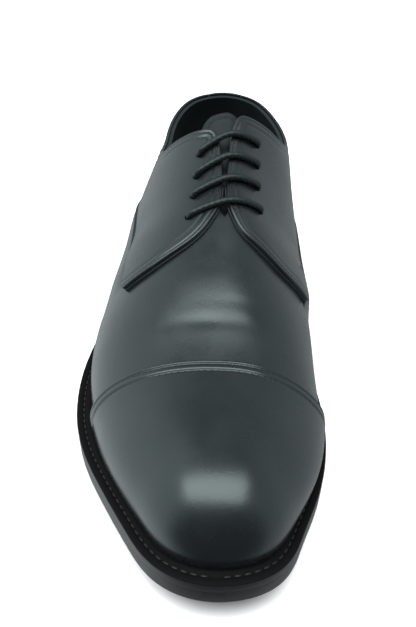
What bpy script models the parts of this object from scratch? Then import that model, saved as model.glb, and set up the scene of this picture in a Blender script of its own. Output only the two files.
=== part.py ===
"""Derby shoe for the right foot, as separate pieces at real size.

Lengths are metres, +Z is up, the toe points to -Y and the inner side of the foot is +X.
Everything is worked out from one form, the outside of the closed upper over the last.
A place on the form is a pair of shares: around, from the heel (0) to the toe (1) along
the feather line where upper and welt meet, and up, from that line (0) to the ridge (1).
"""

from collections import namedtuple
import math

import bmesh
import bpy
import numpy as np
from mathutils import Vector

# Driving sizes of the form
FORM_LENGTH = 0.270
BALL_WIDTH = 0.0925
INSTEP_HEIGHT = 0.086
HEEL_HEIGHT = 0.024
TOE_SPRING = 0.012

# The tables lay the form out on a greater length, which the heel part then gives up
HEEL_TAKEN = 0.019
LAY_LENGTH = FORM_LENGTH + HEEL_TAKEN

# Upper
WALL = 0.0018
BACK_HEIGHT = 0.0785
QUARTER_THICKNESS = 0.0016
CAP_THICKNESS = 0.0014
STRIP_THICKNESS = 0.0020
STRIP_WIDTH = 0.019
WING_PROUD = 0.0006
FOOT_CLEARANCE = 0.0015
TONGUE_THICKNESS = 0.0024
INSOLE_THICKNESS = 0.0030
INSOLE_CLEARANCE = 0.0008

# Sole
WELT_THICKNESS = 0.0034
WELT_INSET = 0.008
OUTSOLE_THICKNESS = 0.0062
EDGE_ROUND = 0.0009
HEEL_LENGTH = 0.078
HEEL_INSET = 0.0006
HEEL_TAPER = 0.0018
BREAST_HOLLOW = 0.003
TOP_PIECE_THICKNESS = 0.006

# Lacing
LACE_DIAMETER = 0.0028
EYELET_CLEARANCE = 0.0005
EYELET_RADIUS = LACE_DIAMETER / 2 + EYELET_CLEARANCE
LACE_DIP = 0.0012
LACE_BEND_INSIDE = 0.0008

# Clearance left between neighbours, and the depth by which a cutter passes a face
GAP = 0.0003
CUT_PAST = 0.004

LATERAL = -1
MEDIAL = 1
SIDES = (LATERAL, MEDIAL)

# Sections of the form. Along is a share of its length. The half widths and swells are
# shares of the ball width, height and ridge rise over the feather line in shares of the
# instep height and ball width. Fullness and rise shape the curve from feather to ridge.
Section = namedtuple(
    "Section",
    "along lateral medial lateral_swell medial_swell fullness rise height ridge")
SECTIONS = (
    Section(0.000, 0.000, 0.000, 0.025, 0.025, 1.40, 1.00, 1.080, 0.000),
    Section(0.025, 0.190, 0.175, 0.020, 0.020, 1.60, 1.00, 1.100, 0.000),
    Section(0.090, 0.300, 0.290, 0.010, 0.015, 1.70, 1.00, 1.140, 0.010),
    Section(0.200, 0.335, 0.325, 0.010, 0.045, 1.25, 1.00, 1.170, 0.020),
    Section(0.320, 0.325, 0.270, 0.040, 0.115, 0.80, 1.00, 1.060, 0.020),
    Section(0.400, 0.375, 0.255, 0.080, 0.145, 0.90, 1.00, 0.910, 0.023),
    Section(0.500, 0.455, 0.290, 0.065, 0.140, 1.00, 0.96, 0.790, 0.025),
    Section(0.600, 0.535, 0.370, 0.042, 0.100, 1.00, 0.92, 0.710, 0.028),
    Section(0.700, 0.550, 0.430, 0.030, 0.045, 0.95, 0.88, 0.570, 0.033),
    Section(0.790, 0.490, 0.430, 0.015, 0.045, 0.90, 0.86, 0.445, 0.038),
    Section(0.870, 0.370, 0.380, 0.020, 0.040, 0.86, 0.84, 0.390, 0.036),
    Section(0.935, 0.245, 0.300, 0.015, 0.024, 0.82, 0.82, 0.350, 0.032),
    Section(0.982, 0.130, 0.215, 0.012, 0.010, 0.80, 0.80, 0.315, 0.030),
    Section(1.000, 0.030, -0.030, 0.010, 0.010, 0.80, 0.80, 0.290, 0.030),
)

# Rise of the tread line along the form, in shares of the heel height and toe spring
Level = namedtuple("Level", "along heel toe")
LEVELS = (
    Level(-0.03, 1.01, 0.00),
    Level(0.00, 1.00, 0.00),
    Level(0.12, 0.96, 0.00),
    Level(0.24, 0.86, 0.00),
    Level(0.34, 0.64, 0.00),
    Level(0.44, 0.36, 0.00),
    Level(0.54, 0.12, 0.00),
    Level(0.62, 0.00, 0.00),
    Level(0.70, 0.00, 0.00),
    Level(0.80, 0.00, 0.14),
    Level(0.90, 0.00, 0.50),
    Level(1.00, 0.00, 1.00),
    Level(1.04, 0.00, 1.22),
)

# Share of the length taken from the heel part that lies behind each place
Taken = namedtuple("Taken", "along share")
TAKEN = (
    Taken(-0.03, -0.09), Taken(0.00, 0.00), Taken(0.12, 0.36), Taken(0.24, 0.72),
    Taken(0.34, 0.96), Taken(0.39, 1.00), Taken(1.04, 1.00),
)

# Where the rib that starts at a place along the feather line meets the ridge
Fan = namedtuple("Fan", "along ridge")
FANS = (
    Fan(0.00, 0.170),
    Fan(0.08, 0.205),
    Fan(0.30, 0.310),
    Fan(0.74, 0.735),
    Fan(0.92, 0.853),
    Fan(1.00, 0.875),
)

# How far the welt stands out past the feather line, in shares of the ball width
Margin = namedtuple("Margin", "around lateral medial")
MARGINS = (
    Margin(0.00, 0.054, 0.054),
    Margin(0.25, 0.060, 0.052),
    Margin(0.45, 0.078, 0.055),
    Margin(0.60, 0.092, 0.070),
    Margin(0.72, 0.090, 0.076),
    Margin(0.85, 0.078, 0.070),
    Margin(1.00, 0.080, 0.080),
)

# Top edge from the back to the front corner of each quarter, in shares of the back height
Rim = namedtuple("Rim", "around height")
TOP_EDGE = {
    LATERAL: (
        Rim(0.000, 1.000), Rim(0.060, 0.995), Rim(0.130, 0.980), Rim(0.200, 0.965),
        Rim(0.280, 0.955), Rim(0.340, 0.968), Rim(0.375, 1.002), Rim(0.398, 1.061),
        Rim(0.409, 1.119), Rim(0.415, 1.171), Rim(0.421, 1.229),
    ),
    MEDIAL: (
        Rim(0.000, 1.000), Rim(0.060, 0.990), Rim(0.120, 0.970), Rim(0.190, 0.950),
        Rim(0.250, 0.940), Rim(0.300, 0.955), Rim(0.328, 1.014), Rim(0.347, 1.084),
        Rim(0.362, 1.159), Rim(0.375, 1.212), Rim(0.400, 1.269),
    ),
}

# Front edge of each quarter from its top corner down the facing to the tab, which ends
# along a rib, and the lower edge of the tab, where the vamp's wing laps over it
Edge = namedtuple("Edge", "around up")
FRONT_EDGE = {
    LATERAL: (
        Edge(0.421, 0.930), Edge(0.436, 0.955), Edge(0.460, 0.968), Edge(0.506, 0.975),
        Edge(0.529, 0.970), Edge(0.545, 0.955), Edge(0.564, 0.920), Edge(0.583, 0.845),
        Edge(0.595, 0.760), Edge(0.602, 0.690), Edge(0.609, 0.620),
    ),
    MEDIAL: (
        Edge(0.400, 0.935), Edge(0.416, 0.960), Edge(0.440, 0.978), Edge(0.506, 0.988),
        Edge(0.529, 0.983), Edge(0.545, 0.968), Edge(0.562, 0.935), Edge(0.574, 0.860),
        Edge(0.580, 0.765), Edge(0.586, 0.680),
    ),
}
LOWER_EDGE = {
    LATERAL: (
        Edge(0.000, 0.300), Edge(0.300, 0.310), Edge(0.420, 0.376), Edge(0.475, 0.443),
        Edge(0.541, 0.495), Edge(0.609, 0.500), Edge(1.000, 0.480),
    ),
    MEDIAL: (
        Edge(0.000, 0.300), Edge(0.300, 0.300), Edge(0.420, 0.340), Edge(0.500, 0.380),
        Edge(0.586, 0.390), Edge(0.700, 0.420), Edge(1.000, 0.480),
    ),
}

# Side seam, behind which the quarter reaches down to the welt
SIDE_SEAM = 0.335

# Share by which the wing stands proud of the quarter's edge, along its lap
Lap = namedtuple("Lap", "around share")
WING_LAP = (
    Lap(0.000, 0.0), Lap(0.365, 0.0), Lap(0.410, 1.0), Lap(0.555, 1.0),
    Lap(0.590, 0.0), Lap(1.000, 0.0),
)

# Slot in the upper between the facings, under which the tongue lies
THROAT = 0.548
THROAT_TURN = 0.528
CAP_SEAM = 0.757

# Eyelets of each side from the top down
EYELETS = {
    LATERAL: (Edge(0.452, 0.879), Edge(0.483, 0.866), Edge(0.514, 0.858), Edge(0.546, 0.842)),
    MEDIAL: (Edge(0.412, 0.815), Edge(0.443, 0.815), Edge(0.477, 0.815), Edge(0.515, 0.805)),
}

# Tongue: its half width in shares of the way from ridge to feather line
Flap = namedtuple("Flap", "around half")
TONGUE = (
    Flap(0.375, 0.090), Flap(0.388, 0.145), Flap(0.400, 0.164), Flap(0.421, 0.180),
    Flap(0.480, 0.190), Flap(0.548, 0.185), Flap(0.602, 0.170),
)

# Fineness
OUTLINE_STEPS = 60
RIB_STEPS = 48
RIBS_AROUND = 25
EXTRA_RIBS = (
    SIDE_SEAM, 0.347, 0.362, 0.375, 0.388, 0.400, 0.409, 0.415, 0.418, 0.421, 0.436,
    THROAT_TURN, THROAT, 0.564, 0.574, 0.580, 0.586, 0.595, 0.602, 0.609, CAP_SEAM,
)
NEAREST_RIBS = 0.006
LOWER_ROWS = 5
UPPER_ROWS = 8
SOLE_STEPS = 32
HEEL_STEPS = 12
BREAST_STEPS = 4
LACE_STEPS = 8
LACE_TURN_STEPS = 3
LACE_SIDES = 8
EYELET_SIDES = 8
SHARP_EDGE = 50
NUDGE = 0.002
WELD = 1e-6
SWELL_SHAPE = 6.75


def column(table, name):
    """One named column of a table as an array."""
    return np.array([getattr(row, name) for row in table])


def flowing(xs, ys, x):
    """Natural cubic spline through a table, for shapes that flow."""
    x = np.clip(np.asarray(x, float), xs[0], xs[-1])
    count = len(xs)
    span = np.diff(xs)
    system = np.eye(count)
    pull = np.zeros(count)
    for k in range(1, count - 1):
        system[k, k - 1:k + 2] = span[k - 1], 2 * (span[k - 1] + span[k]), span[k]
        pull[k] = 6 * ((ys[k + 1] - ys[k]) / span[k] - (ys[k] - ys[k - 1]) / span[k - 1])
    bend = np.linalg.solve(system, pull)
    i = np.clip(np.searchsorted(xs, x, side="right") - 1, 0, count - 2)
    after = x - xs[i]
    before = xs[i + 1] - x
    return ((bend[i] * before ** 3 + bend[i + 1] * after ** 3) / (6 * span[i])
            + (ys[i] / span[i] - bend[i] * span[i] / 6) * before
            + (ys[i + 1] / span[i] - bend[i + 1] * span[i] / 6) * after)


def steady(xs, ys, x):
    """Monotone cubic through a table, which stays flat where the table is flat."""
    x = np.clip(np.asarray(x, float), xs[0], xs[-1])
    span = np.diff(xs)
    slope = np.diff(ys) / span
    tangent = np.zeros(len(xs))
    left = 2 * span[1:] + span[:-1]
    right = span[1:] + 2 * span[:-1]
    same = slope[:-1] * slope[1:] > 0
    mean = (left + right) / (left / np.where(same, slope[:-1], 1)
                             + right / np.where(same, slope[1:], 1))
    tangent[1:-1] = np.where(same, mean, 0)
    tangent[0] = slope[0]
    tangent[-1] = slope[-1]
    i = np.clip(np.searchsorted(xs, x, side="right") - 1, 0, len(span) - 1)
    t = (x - xs[i]) / span[i]
    return ((1 + 2 * t) * (1 - t) ** 2 * ys[i] + t * (1 - t) ** 2 * span[i] * tangent[i]
            + t * t * (3 - 2 * t) * ys[i + 1] + t * t * (t - 1) * span[i] * tangent[i + 1])


def section(name, along):
    """A column of the sections at places along the form."""
    return flowing(column(SECTIONS, "along"), column(SECTIONS, name), along)


def closed_curve(points):
    """Smooth closed curve through points, as a dense loop that starts at the first."""
    count = len(points)
    following = np.roll(points, -1, axis=0)
    span = np.sqrt(np.hypot(*(following - points).T))
    system = np.zeros((count, count))
    pull = np.zeros((count, 2))
    for i in range(count):
        system[i, i - 1] += span[i - 1]
        system[i, i] += 2 * (span[i - 1] + span[i])
        system[i, (i + 1) % count] += span[i]
        ahead = (following[i] - points[i]) / span[i]
        behind = (points[i] - points[i - 1]) / span[i - 1]
        pull[i] = 6 * (ahead - behind)
    bend = np.linalg.solve(system, pull)
    bend_after = np.roll(bend, -1, axis=0)
    loop = []
    for i in range(count):
        after = np.linspace(0, span[i], OUTLINE_STEPS, endpoint=False)[:, None]
        before = span[i] - after
        loop.append((bend[i] * before ** 3 + bend_after[i] * after ** 3) / (6 * span[i])
                    + (points[i] / span[i] - bend[i] * span[i] / 6) * before
                    + (following[i] / span[i] - bend_after[i] * span[i] / 6) * after)
    return np.concatenate(loop)


class Outline:
    """A closed outline seen from above, as one curve for each side from heel to toe.

    A point is (across, place): place is the distance from the back of the form.
    """

    def __init__(self, curves):
        self.across = {side: curve[:, 0] for side, curve in curves.items()}
        self.place = {side: np.maximum.accumulate(curve[:, 1]) for side, curve in curves.items()}
        self.places = np.unique(np.concatenate(list(self.place.values())))
        self.shares = np.zeros(len(self.places))
        for side, curve in curves.items():
            steps = np.hypot(*np.diff(curve, axis=0).T)
            run = np.concatenate([[0], np.cumsum(steps)])
            self.shares += np.interp(self.places, self.place[side], run / run[-1]) / len(SIDES)

    def place_at(self, around):
        """Place of a share around, which is the same on both sides."""
        return np.interp(around, self.shares, self.places)

    def share_at(self, place):
        """Share around that lies at a place."""
        return np.interp(place, self.places, self.shares)

    def points(self, side, around):
        """Points of one side at shares around."""
        place = self.place_at(around)
        return np.stack([np.interp(place, self.place[side], self.across[side]), place], -1)

    def outward(self, side, around):
        """Unit directions that point out of the outline."""
        around = np.asarray(around, float)
        ahead = self.points(side, np.clip(around + NUDGE, 0, 1))
        behind = self.points(side, np.clip(around - NUDGE, 0, 1))
        run = ahead - behind
        run = np.where((around <= 0)[:, None], (side, 0.0), run)
        run = np.where((around >= 1)[:, None], (-side, 0.0), run)
        run = run / np.linalg.norm(run, axis=1, keepdims=True)
        return np.stack([run[:, 1] * side, -run[:, 0] * side], -1)

    def grown(self, distance):
        """The outline moved outwards by distance(side, around)."""
        around = np.linspace(0, 1, OUTLINE_STEPS * len(SECTIONS))
        curves = {}
        for side in SIDES:
            reach = np.broadcast_to(distance(side, around), around.shape)
            curves[side] = (self.points(side, around)
                            + self.outward(side, around) * reach[:, None])
        return Outline(curves)


def feather_line():
    """Outline where the upper meets the welt."""
    rows = SECTIONS[1:-1]
    lateral = [(-row.lateral * BALL_WIDTH, row.along * LAY_LENGTH) for row in rows]
    medial = [(row.medial * BALL_WIDTH, row.along * LAY_LENGTH) for row in reversed(rows)]
    tip = [(SECTIONS[-1].lateral * BALL_WIDTH, LAY_LENGTH)]
    loop = closed_curve(np.array([(0.0, 0.0)] + lateral + tip + medial))
    loop = np.roll(loop, -np.argmin(loop[:, 1]), axis=0)
    toe = np.argmax(loop[:, 1])
    back = np.vstack([loop[toe:], loop[:1]])
    return Outline({LATERAL: loop[:toe + 1], MEDIAL: back[::-1]})


def margin(side, around):
    """How far the welt stands out past the feather line."""
    name = "lateral" if side == LATERAL else "medial"
    return steady(column(MARGINS, "around"), column(MARGINS, name), around) * BALL_WIDTH


FEATHER = feather_line()
SOLE_EDGE = FEATHER.grown(margin)


def tread(place):
    """Height of the underside of the outsole."""
    along = np.asarray(place) / LAY_LENGTH
    shares = column(LEVELS, "along")
    return (HEEL_HEIGHT * steady(shares, column(LEVELS, "heel"), along)
            + TOE_SPRING * steady(shares, column(LEVELS, "toe"), along))


def outsole_top(place):
    """Height of the upper side of the outsole."""
    return tread(place) + OUTSOLE_THICKNESS


def welt_top(place):
    """Height of the upper side of the welt."""
    return outsole_top(place) + GAP + WELT_THICKNESS


def feather_height(place):
    """Height of the lower edge of the upper."""
    return welt_top(place) + GAP


def ridge(place):
    """Across and height of the ridge of the form."""
    along = place / LAY_LENGTH
    height = feather_height(place) + section("height", along) * INSTEP_HEIGHT
    return section("ridge", along) * BALL_WIDTH, height


def ribs(side, around):
    """Curves over the form from the feather line to the ridge, one for each share."""
    foot = FEATHER.points(side, around)
    along = foot[:, 1] / LAY_LENGTH
    head_place = steady(column(FANS, "along"), column(FANS, "ridge"), along) * LAY_LENGTH
    head = np.stack([ridge(head_place)[0], head_place], -1)
    turn = np.linspace(0, math.pi / 2, RIB_STEPS + 1)
    inward = np.cos(turn) ** section("fullness", along)[:, None]
    inward[:, -1] = 0
    climb = np.sin(turn) ** section("rise", along)[:, None]
    swell_name = "lateral_swell" if side == LATERAL else "medial_swell"
    swell = section(swell_name, along) * BALL_WIDTH
    puff = SWELL_SHAPE * climb * (1 - climb) ** 2
    out = FEATHER.outward(side, around) * swell[:, None]
    plan = head[:, None] + (foot - head)[:, None] * inward[..., None]
    plan = plan + out[:, None] * puff[..., None]
    low = feather_height(foot[:, 1])[:, None]
    high = ridge(plan[..., 1])[1]
    return np.concatenate([plan, (low + (high - low) * climb)[..., None]], -1)


def run_of(curves):
    """Share of its length that each curve has run at each of its points."""
    steps = np.linalg.norm(np.diff(curves, axis=1), axis=2)
    run = np.concatenate([np.zeros((len(curves), 1)), np.cumsum(steps, axis=1)], 1)
    return run / run[:, -1:]


def on_form(side, around, up):
    """Points of the form on ribs at shares around, at shares up (one row for each rib)."""
    curves = ribs(side, around)
    run = run_of(curves)
    points = np.empty(up.shape + (3,))
    for i, curve in enumerate(curves):
        for k in range(3):
            points[i, :, k] = np.interp(up[i], run[i], curve[:, k])
    return points


def facing_out(side, around, up):
    """Unit directions out of the form, taken just short of the ridge for points on it."""
    up = np.minimum(up, 1 - 2 * NUDGE)
    across = (on_form(side, np.clip(around + NUDGE, 0, 1), up)
              - on_form(side, np.clip(around - NUDGE, 0, 1), up))
    climbing = (on_form(side, around, np.clip(up + NUDGE, 0, 1))
                - on_form(side, around, np.clip(up - NUDGE, 0, 1)))
    out = np.cross(across, climbing) * side
    return out / np.linalg.norm(out, axis=-1, keepdims=True)


def skin(side, around, up, lift):
    """Points at a distance outside the form. Both sides agree where they meet."""
    out = facing_out(side, around, up)
    both = out + facing_out(-side, around, up)
    both = both / np.linalg.norm(both, axis=-1, keepdims=True)
    shared = (around[:, None] <= 0) | (around[:, None] >= 1) | (up >= 1)
    out = np.where(shared[..., None], both, out)
    return on_form(side, around, up) + out * np.broadcast_to(lift, up.shape)[..., None]


def up_at_height(side, around, height):
    """Share up at which the rib at each share around reaches a height."""
    curves = ribs(side, around)
    run = run_of(curves)
    return np.array([np.interp(height[i], curve[:, 2], run[i])
                     for i, curve in enumerate(curves)])


def edge_up(table, around):
    """Share up of an edge table at shares around."""
    return steady(column(table, "around"), column(table, "up"), around)


def seam_up(side, around):
    """Share up of the lap between wing and quarter, carried on to heel and toe."""
    return edge_up(LOWER_EDGE[side], around)


def corner(side):
    """Share around of the top front corner of a quarter."""
    return FRONT_EDGE[side][0].around


def top_up(side, around):
    """Share up of the top edge, from the back to the corner of the facing."""
    table = TOP_EDGE[side]
    height = steady(column(table, "around"), column(table, "height"), around) * BACK_HEIGHT
    return up_at_height(side, around, height)


def rim_up(side, around):
    """Share up at which the upper ends: top edge, then facing, then closed."""
    top = np.minimum(top_up(side, around), FRONT_EDGE[side][0].up)
    facing = edge_up(FRONT_EDGE[side], np.minimum(around, THROAT_TURN))
    closing = np.clip((around - THROAT_TURN) / (THROAT - THROAT_TURN), 0, 1)
    facing = facing + (1 - facing) * closing
    return np.where(around < corner(side), top, facing)


def quarter_high(side, around):
    """Share up of the quarter's upper boundary."""
    top = np.minimum(top_up(side, around), FRONT_EDGE[side][0].up)
    return np.where(around < corner(side), top, edge_up(FRONT_EDGE[side], around))


def quarter_low(side, around):
    """Share up of the quarter's lower boundary in front of the side seam."""
    clear = GAP / rib_lengths(side, around)
    return seam_up(side, around) + np.where(around > SIDE_SEAM, clear, 0)


def strip_share():
    """Share around of the side of the back strip."""
    lengths = [np.hypot(*np.diff(FEATHER.points(side, np.linspace(0, 1, OUTLINE_STEPS)),
                                 axis=0).T).sum() for side in SIDES]
    return STRIP_WIDTH / sum(lengths)


def stations():
    """Shares around of all the ribs that the pieces of the upper share."""
    fixed = sorted(EXTRA_RIBS + (0.0, strip_share(), 1.0))
    even = [share for share in np.linspace(0, 1, RIBS_AROUND)
            if min(abs(share - own) for own in fixed) > NEAREST_RIBS]
    return np.array(sorted(fixed + even))


def rows_up(side, around):
    """Shares up of the lattice: rows below the lap, then rows from it to the ridge."""
    seam = seam_up(side, around)[:, None]
    lower = np.linspace(0, 1, LOWER_ROWS + 1)[None]
    upper = np.linspace(0, 1, UPPER_ROWS + 1)[None, 1:]
    return np.concatenate([seam * lower, seam + (1 - seam) * upper], 1)


def taken(place):
    """Length that the heel part has given up behind a place."""
    shares = steady(column(TAKEN, "along"), column(TAKEN, "share"), place / LAY_LENGTH)
    return shares * HEEL_TAKEN


def world(points):
    """Form coordinates (across, place, height) to the part's own axes."""
    moved = np.array(points, float)
    moved[..., 1] = FORM_LENGTH / 2 - moved[..., 1] + taken(moved[..., 1])
    return moved


def material(name, colour, roughness):
    """Plain Principled material."""
    made = bpy.data.materials.new(name)
    made.use_nodes = True
    shader = made.node_tree.nodes["Principled BSDF"]
    shader.inputs["Base Color"].default_value = (*colour, 1.0)
    shader.inputs["Roughness"].default_value = roughness
    shader.inputs["Metallic"].default_value = 0.0
    return made


def add_piece(name, mesh, finish, collection):
    """Object for a mesh, in the collection of the shoe or of the cutters."""
    piece = bpy.data.objects.new(name, mesh)
    if finish is not None:
        mesh.materials.append(finish)
    collection.objects.link(piece)
    return piece


def shell(name, layers):
    """Closed mesh between pairs of equal grids of points, an outer and an inner one.

    Points of the outer grids that coincide are one point, and edges with one face get a
    wall to the inner grid, so the pieces of a surface close up wherever they meet.
    """
    number = {}
    outer = []
    inner = []
    faces = []
    for outer_grid, inner_grid in layers:
        outer_grid = world(outer_grid)
        inner_grid = world(inner_grid)
        rows, columns = outer_grid.shape[:2]
        index = np.empty((rows, columns), int)
        for i in range(rows):
            for j in range(columns):
                key = tuple(np.round(outer_grid[i, j] / WELD).astype(int))
                if key not in number:
                    number[key] = len(outer)
                    outer.append(outer_grid[i, j])
                    inner.append(inner_grid[i, j])
                index[i, j] = number[key]
        for i in range(rows - 1):
            for j in range(columns - 1):
                ring = (index[i, j], index[i + 1, j], index[i + 1, j + 1], index[i, j + 1])
                face = [v for k, v in enumerate(ring) if v != ring[k - 1]]
                if len(set(face)) == len(face) and len(face) > 2:
                    faces.append(face)
    below = len(outer)
    edges = {}
    for face in faces:
        for k, v in enumerate(face):
            edges.setdefault(frozenset((face[k - 1], v)), []).append((face[k - 1], v))
    walls = [(a, b, b + below, a + below)
             for uses in edges.values() if len(uses) == 1 for a, b in uses]
    under = [[v + below for v in face] for face in faces]
    mesh = bpy.data.meshes.new(name)
    body = bmesh.new()
    points = [body.verts.new(p) for p in outer + inner]
    for face in faces + walls + under:
        body.faces.new([points[v] for v in face])
    loose = [v for v in body.verts if not v.link_faces]
    bmesh.ops.delete(body, geom=loose, context="VERTS")
    bmesh.ops.recalc_face_normals(body, faces=body.faces)
    body.to_mesh(mesh)
    body.free()
    return mesh


def panel(side, around, low, high, lifts):
    """Layer over the form between two boundaries, on the rows of the shared lattice."""
    up = np.clip(rows_up(side, around), low(side, around)[:, None],
                 high(side, around)[:, None])
    return skin(side, around, up, lifts[1]), skin(side, around, up, lifts[0])


def rib_lengths(side, around):
    """Length of each rib from the feather line to the ridge."""
    return np.linalg.norm(np.diff(ribs(side, around), axis=1), axis=2).sum(1)


def foot_line(side, around):
    """Boundary just above the welt."""
    return FOOT_CLEARANCE / rib_lengths(side, around)


def ridge_line(side, around):
    """Boundary at the ridge."""
    return np.ones(len(around))


def upper_mesh():
    """Vamp, wings and lining as one wall, open below, at the collar and at the throat."""
    around = stations()
    full_step = GAP + QUARTER_THICKNESS + WING_PROUD
    lap = steady(column(WING_LAP, "around"), column(WING_LAP, "share"), around)
    layers = []
    for side in SIDES:
        up = rows_up(side, around)
        seam = up[:, LOWER_ROWS:LOWER_ROWS + 1]
        below = seam - (GAP / rib_lengths(side, around))[:, None]
        up = np.concatenate([up[:, :LOWER_ROWS], below, up[:, LOWER_ROWS:]], 1)
        rise = np.linspace(0, 1, LOWER_ROWS + 1)[None]
        lift = np.zeros(up.shape)
        lift[:, :LOWER_ROWS + 1] = full_step * lap[:, None] * rise
        up = np.minimum(up, rim_up(side, around)[:, None])
        layers.append((skin(side, around, up, lift), skin(side, around, up, -WALL)))
    return shell("upper", layers)


def quarter_mesh(side, name):
    """Quarter from the back strip to the tip of its tab."""
    around = stations()
    tip = FRONT_EDGE[side][-1].around
    around = around[(around >= strip_share()) & (around <= tip)]
    around[0] += GAP / LAY_LENGTH
    back = around[around <= SIDE_SEAM]
    front = around[around >= SIDE_SEAM]
    lifts = (GAP, GAP + QUARTER_THICKNESS)
    return shell(name, [panel(side, back, foot_line, quarter_high, lifts),
                        panel(side, front, quarter_low, quarter_high, lifts)])


def cap_mesh():
    """Toe cap from its seam round the toe."""
    around = stations()
    around = around[around >= CAP_SEAM]
    lifts = (GAP, GAP + CAP_THICKNESS)
    return shell("toe_cap", [panel(side, around, foot_line, ridge_line, lifts)
                             for side in SIDES])


def strip_mesh():
    """Strip up the back, over the seam between the quarters."""
    around = stations()
    around = around[around <= strip_share()]
    lifts = (GAP, GAP + STRIP_THICKNESS)
    return shell("back_strip", [panel(side, around, foot_line, top_up, lifts)
                                for side in SIDES])


def tongue_side(side, around):
    """Boundary along the side of the tongue."""
    return 1 - steady(column(TONGUE, "around"), column(TONGUE, "half"), around)


def tongue_mesh():
    """Tongue under the facings, from under the vamp to above the top edge."""
    around = stations()
    around = around[(around >= TONGUE[0].around) & (around <= TONGUE[-1].around)]
    outer_lift = -(WALL + GAP)
    lifts = (outer_lift - TONGUE_THICKNESS, outer_lift)
    return shell("tongue", [panel(side, around, tongue_side, ridge_line, lifts)
                            for side in SIDES])


def with_height(points, height):
    """Plan points with the height that belongs to their place."""
    return np.concatenate([points, height(points[..., 1])[..., None]], -1)


def sole_stations():
    """Shares around of the sole's rows, with one at each end of its flat tread."""
    flat = [row.along * LAY_LENGTH for row in LEVELS if row.heel == row.toe == 0.0]
    fixed = [0.0, SOLE_EDGE.share_at(flat[0]), SOLE_EDGE.share_at(flat[-1]), 1.0]
    even = [share for share in np.linspace(0, 1, SOLE_STEPS + 1)
            if min(abs(share - own) for own in fixed) > NEAREST_RIBS]
    return np.array(sorted(fixed + even))


def slab_mesh(name, outline, around, high, low):
    """Plate that fills an outline between two heights that follow the place."""
    middle = 0.5 * (outline.points(LATERAL, around) + outline.points(MEDIAL, around))
    layers = []
    for side in SIDES:
        plan = np.stack([outline.points(side, around), middle], 1)
        layers.append((with_height(plan, high), with_height(plan, low)))
    return shell(name, layers)


def welt_mesh():
    """Ring between upper and outsole, from past the feather line to under the insole."""
    around = sole_stations()
    inner_edge = FEATHER.grown(lambda side, share: -WELT_INSET)
    layers = []
    for side in SIDES:
        outer = SOLE_EDGE.points(side, around)
        inner = inner_edge.points(side, around)
        plan = np.stack([outer, inner], 1)
        high = with_height(plan, welt_top)
        low = with_height(plan, lambda place: outsole_top(place) + GAP)
        layers.append((high, low))
    return shell("welt", layers)


def heel_plan(outline, side):
    """Plan of one half of the heel, from its back to the hollow breast."""
    last = outline.share_at(HEEL_LENGTH)
    around = np.linspace(0, last, HEEL_STEPS + 1)
    edge = outline.points(side, around)[:, None]
    other = outline.points(-side, around)[:, None]
    reach = np.linspace(0, 1, BREAST_STEPS + 1)[None, :, None]
    plan = edge + (other - edge) * reach / 2
    forward = (np.arange(HEEL_STEPS + 1) / HEEL_STEPS) ** 3
    hollow = BREAST_HOLLOW * (1 - (1 - reach[..., 0]) ** 2)
    plan[..., 1] -= forward[:, None] * hollow
    return plan


def heel_mesh():
    """Heel block, which follows the outsole above and is flat below."""
    above = SOLE_EDGE.grown(lambda side, share: -HEEL_INSET)
    below = SOLE_EDGE.grown(lambda side, share: -HEEL_INSET - HEEL_TAPER)
    foot = TOP_PIECE_THICKNESS + GAP
    layers = []
    for side in SIDES:
        top = with_height(heel_plan(above, side), lambda place: tread(place) - GAP)
        bottom = with_height(heel_plan(below, side), lambda place: np.full(place.shape, foot))
        layers.append((top, bottom))
    return shell("heel", layers)


def top_piece_mesh():
    """Flat wearing piece under the heel."""
    outline = SOLE_EDGE.grown(lambda side, share: -HEEL_INSET - HEEL_TAPER)
    layers = []
    for side in SIDES:
        plan = heel_plan(outline, side)
        top = with_height(plan, lambda place: np.full(place.shape, TOP_PIECE_THICKNESS))
        layers.append((top, with_height(plan, np.zeros_like)))
    return shell("top_piece", layers)


def insole_mesh():
    """Insole inside the lower edge of the upper."""
    outline = FEATHER.grown(lambda side, share: -(WALL + INSOLE_CLEARANCE))
    return slab_mesh("insole", outline, stations(),
                     lambda place: feather_height(place) + INSOLE_THICKNESS, feather_height)


def rounded(piece, width, segments=1):
    """Live bevel on the sharp edges of a sole piece."""
    bevel = piece.modifiers.new("rounded_edge", "BEVEL")
    bevel.width = width
    bevel.segments = segments
    bevel.limit_method = "ANGLE"
    bevel.angle_limit = math.radians(SHARP_EDGE)


def place_on_form(side, share, up, lift):
    """One point of the form, as a vector in the part's axes."""
    point = skin(side, np.array([share]), np.array([[up]]), lift)[0, 0]
    return Vector(world(point))


def lace_path(ends, bottom_lift, outer_lift):
    """Centre line of one bar, from inside one eyelet to inside the other."""
    radius = LACE_DIAMETER / 2
    bend = radius + LACE_BEND_INSIDE
    lengths = {}
    for side in SIDES:
        whole = rib_lengths(side, np.array([ends[side].around]))[0]
        lengths[side] = (1 - ends[side].up) * whole
    total = sum(lengths.values())
    turn = np.linspace(0, math.pi / 2, LACE_TURN_STEPS + 1)
    rising = [(bend * (1 - math.cos(angle)), outer_lift + bend * math.sin(angle))
              for angle in turn]
    level = [(distance, outer_lift + bend)
             for distance in np.linspace(bend, total - bend, LACE_STEPS)[1:-1]]
    falling = [(total - distance, lift) for distance, lift in reversed(rising)]
    route = [(0.0, bottom_lift)] + rising + level + falling + [(total, bottom_lift)]
    points = []
    for distance, lift in route:
        across = distance - lengths[LATERAL]
        side = LATERAL if across < 0 else MEDIAL
        up = 1 - abs(across) / lengths[side] * (1 - ends[side].up)
        mix = distance / total
        share = ends[LATERAL].around * (1 - mix) + ends[MEDIAL].around * mix
        points.append(place_on_form(side, share, up, lift))
    return points


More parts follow.
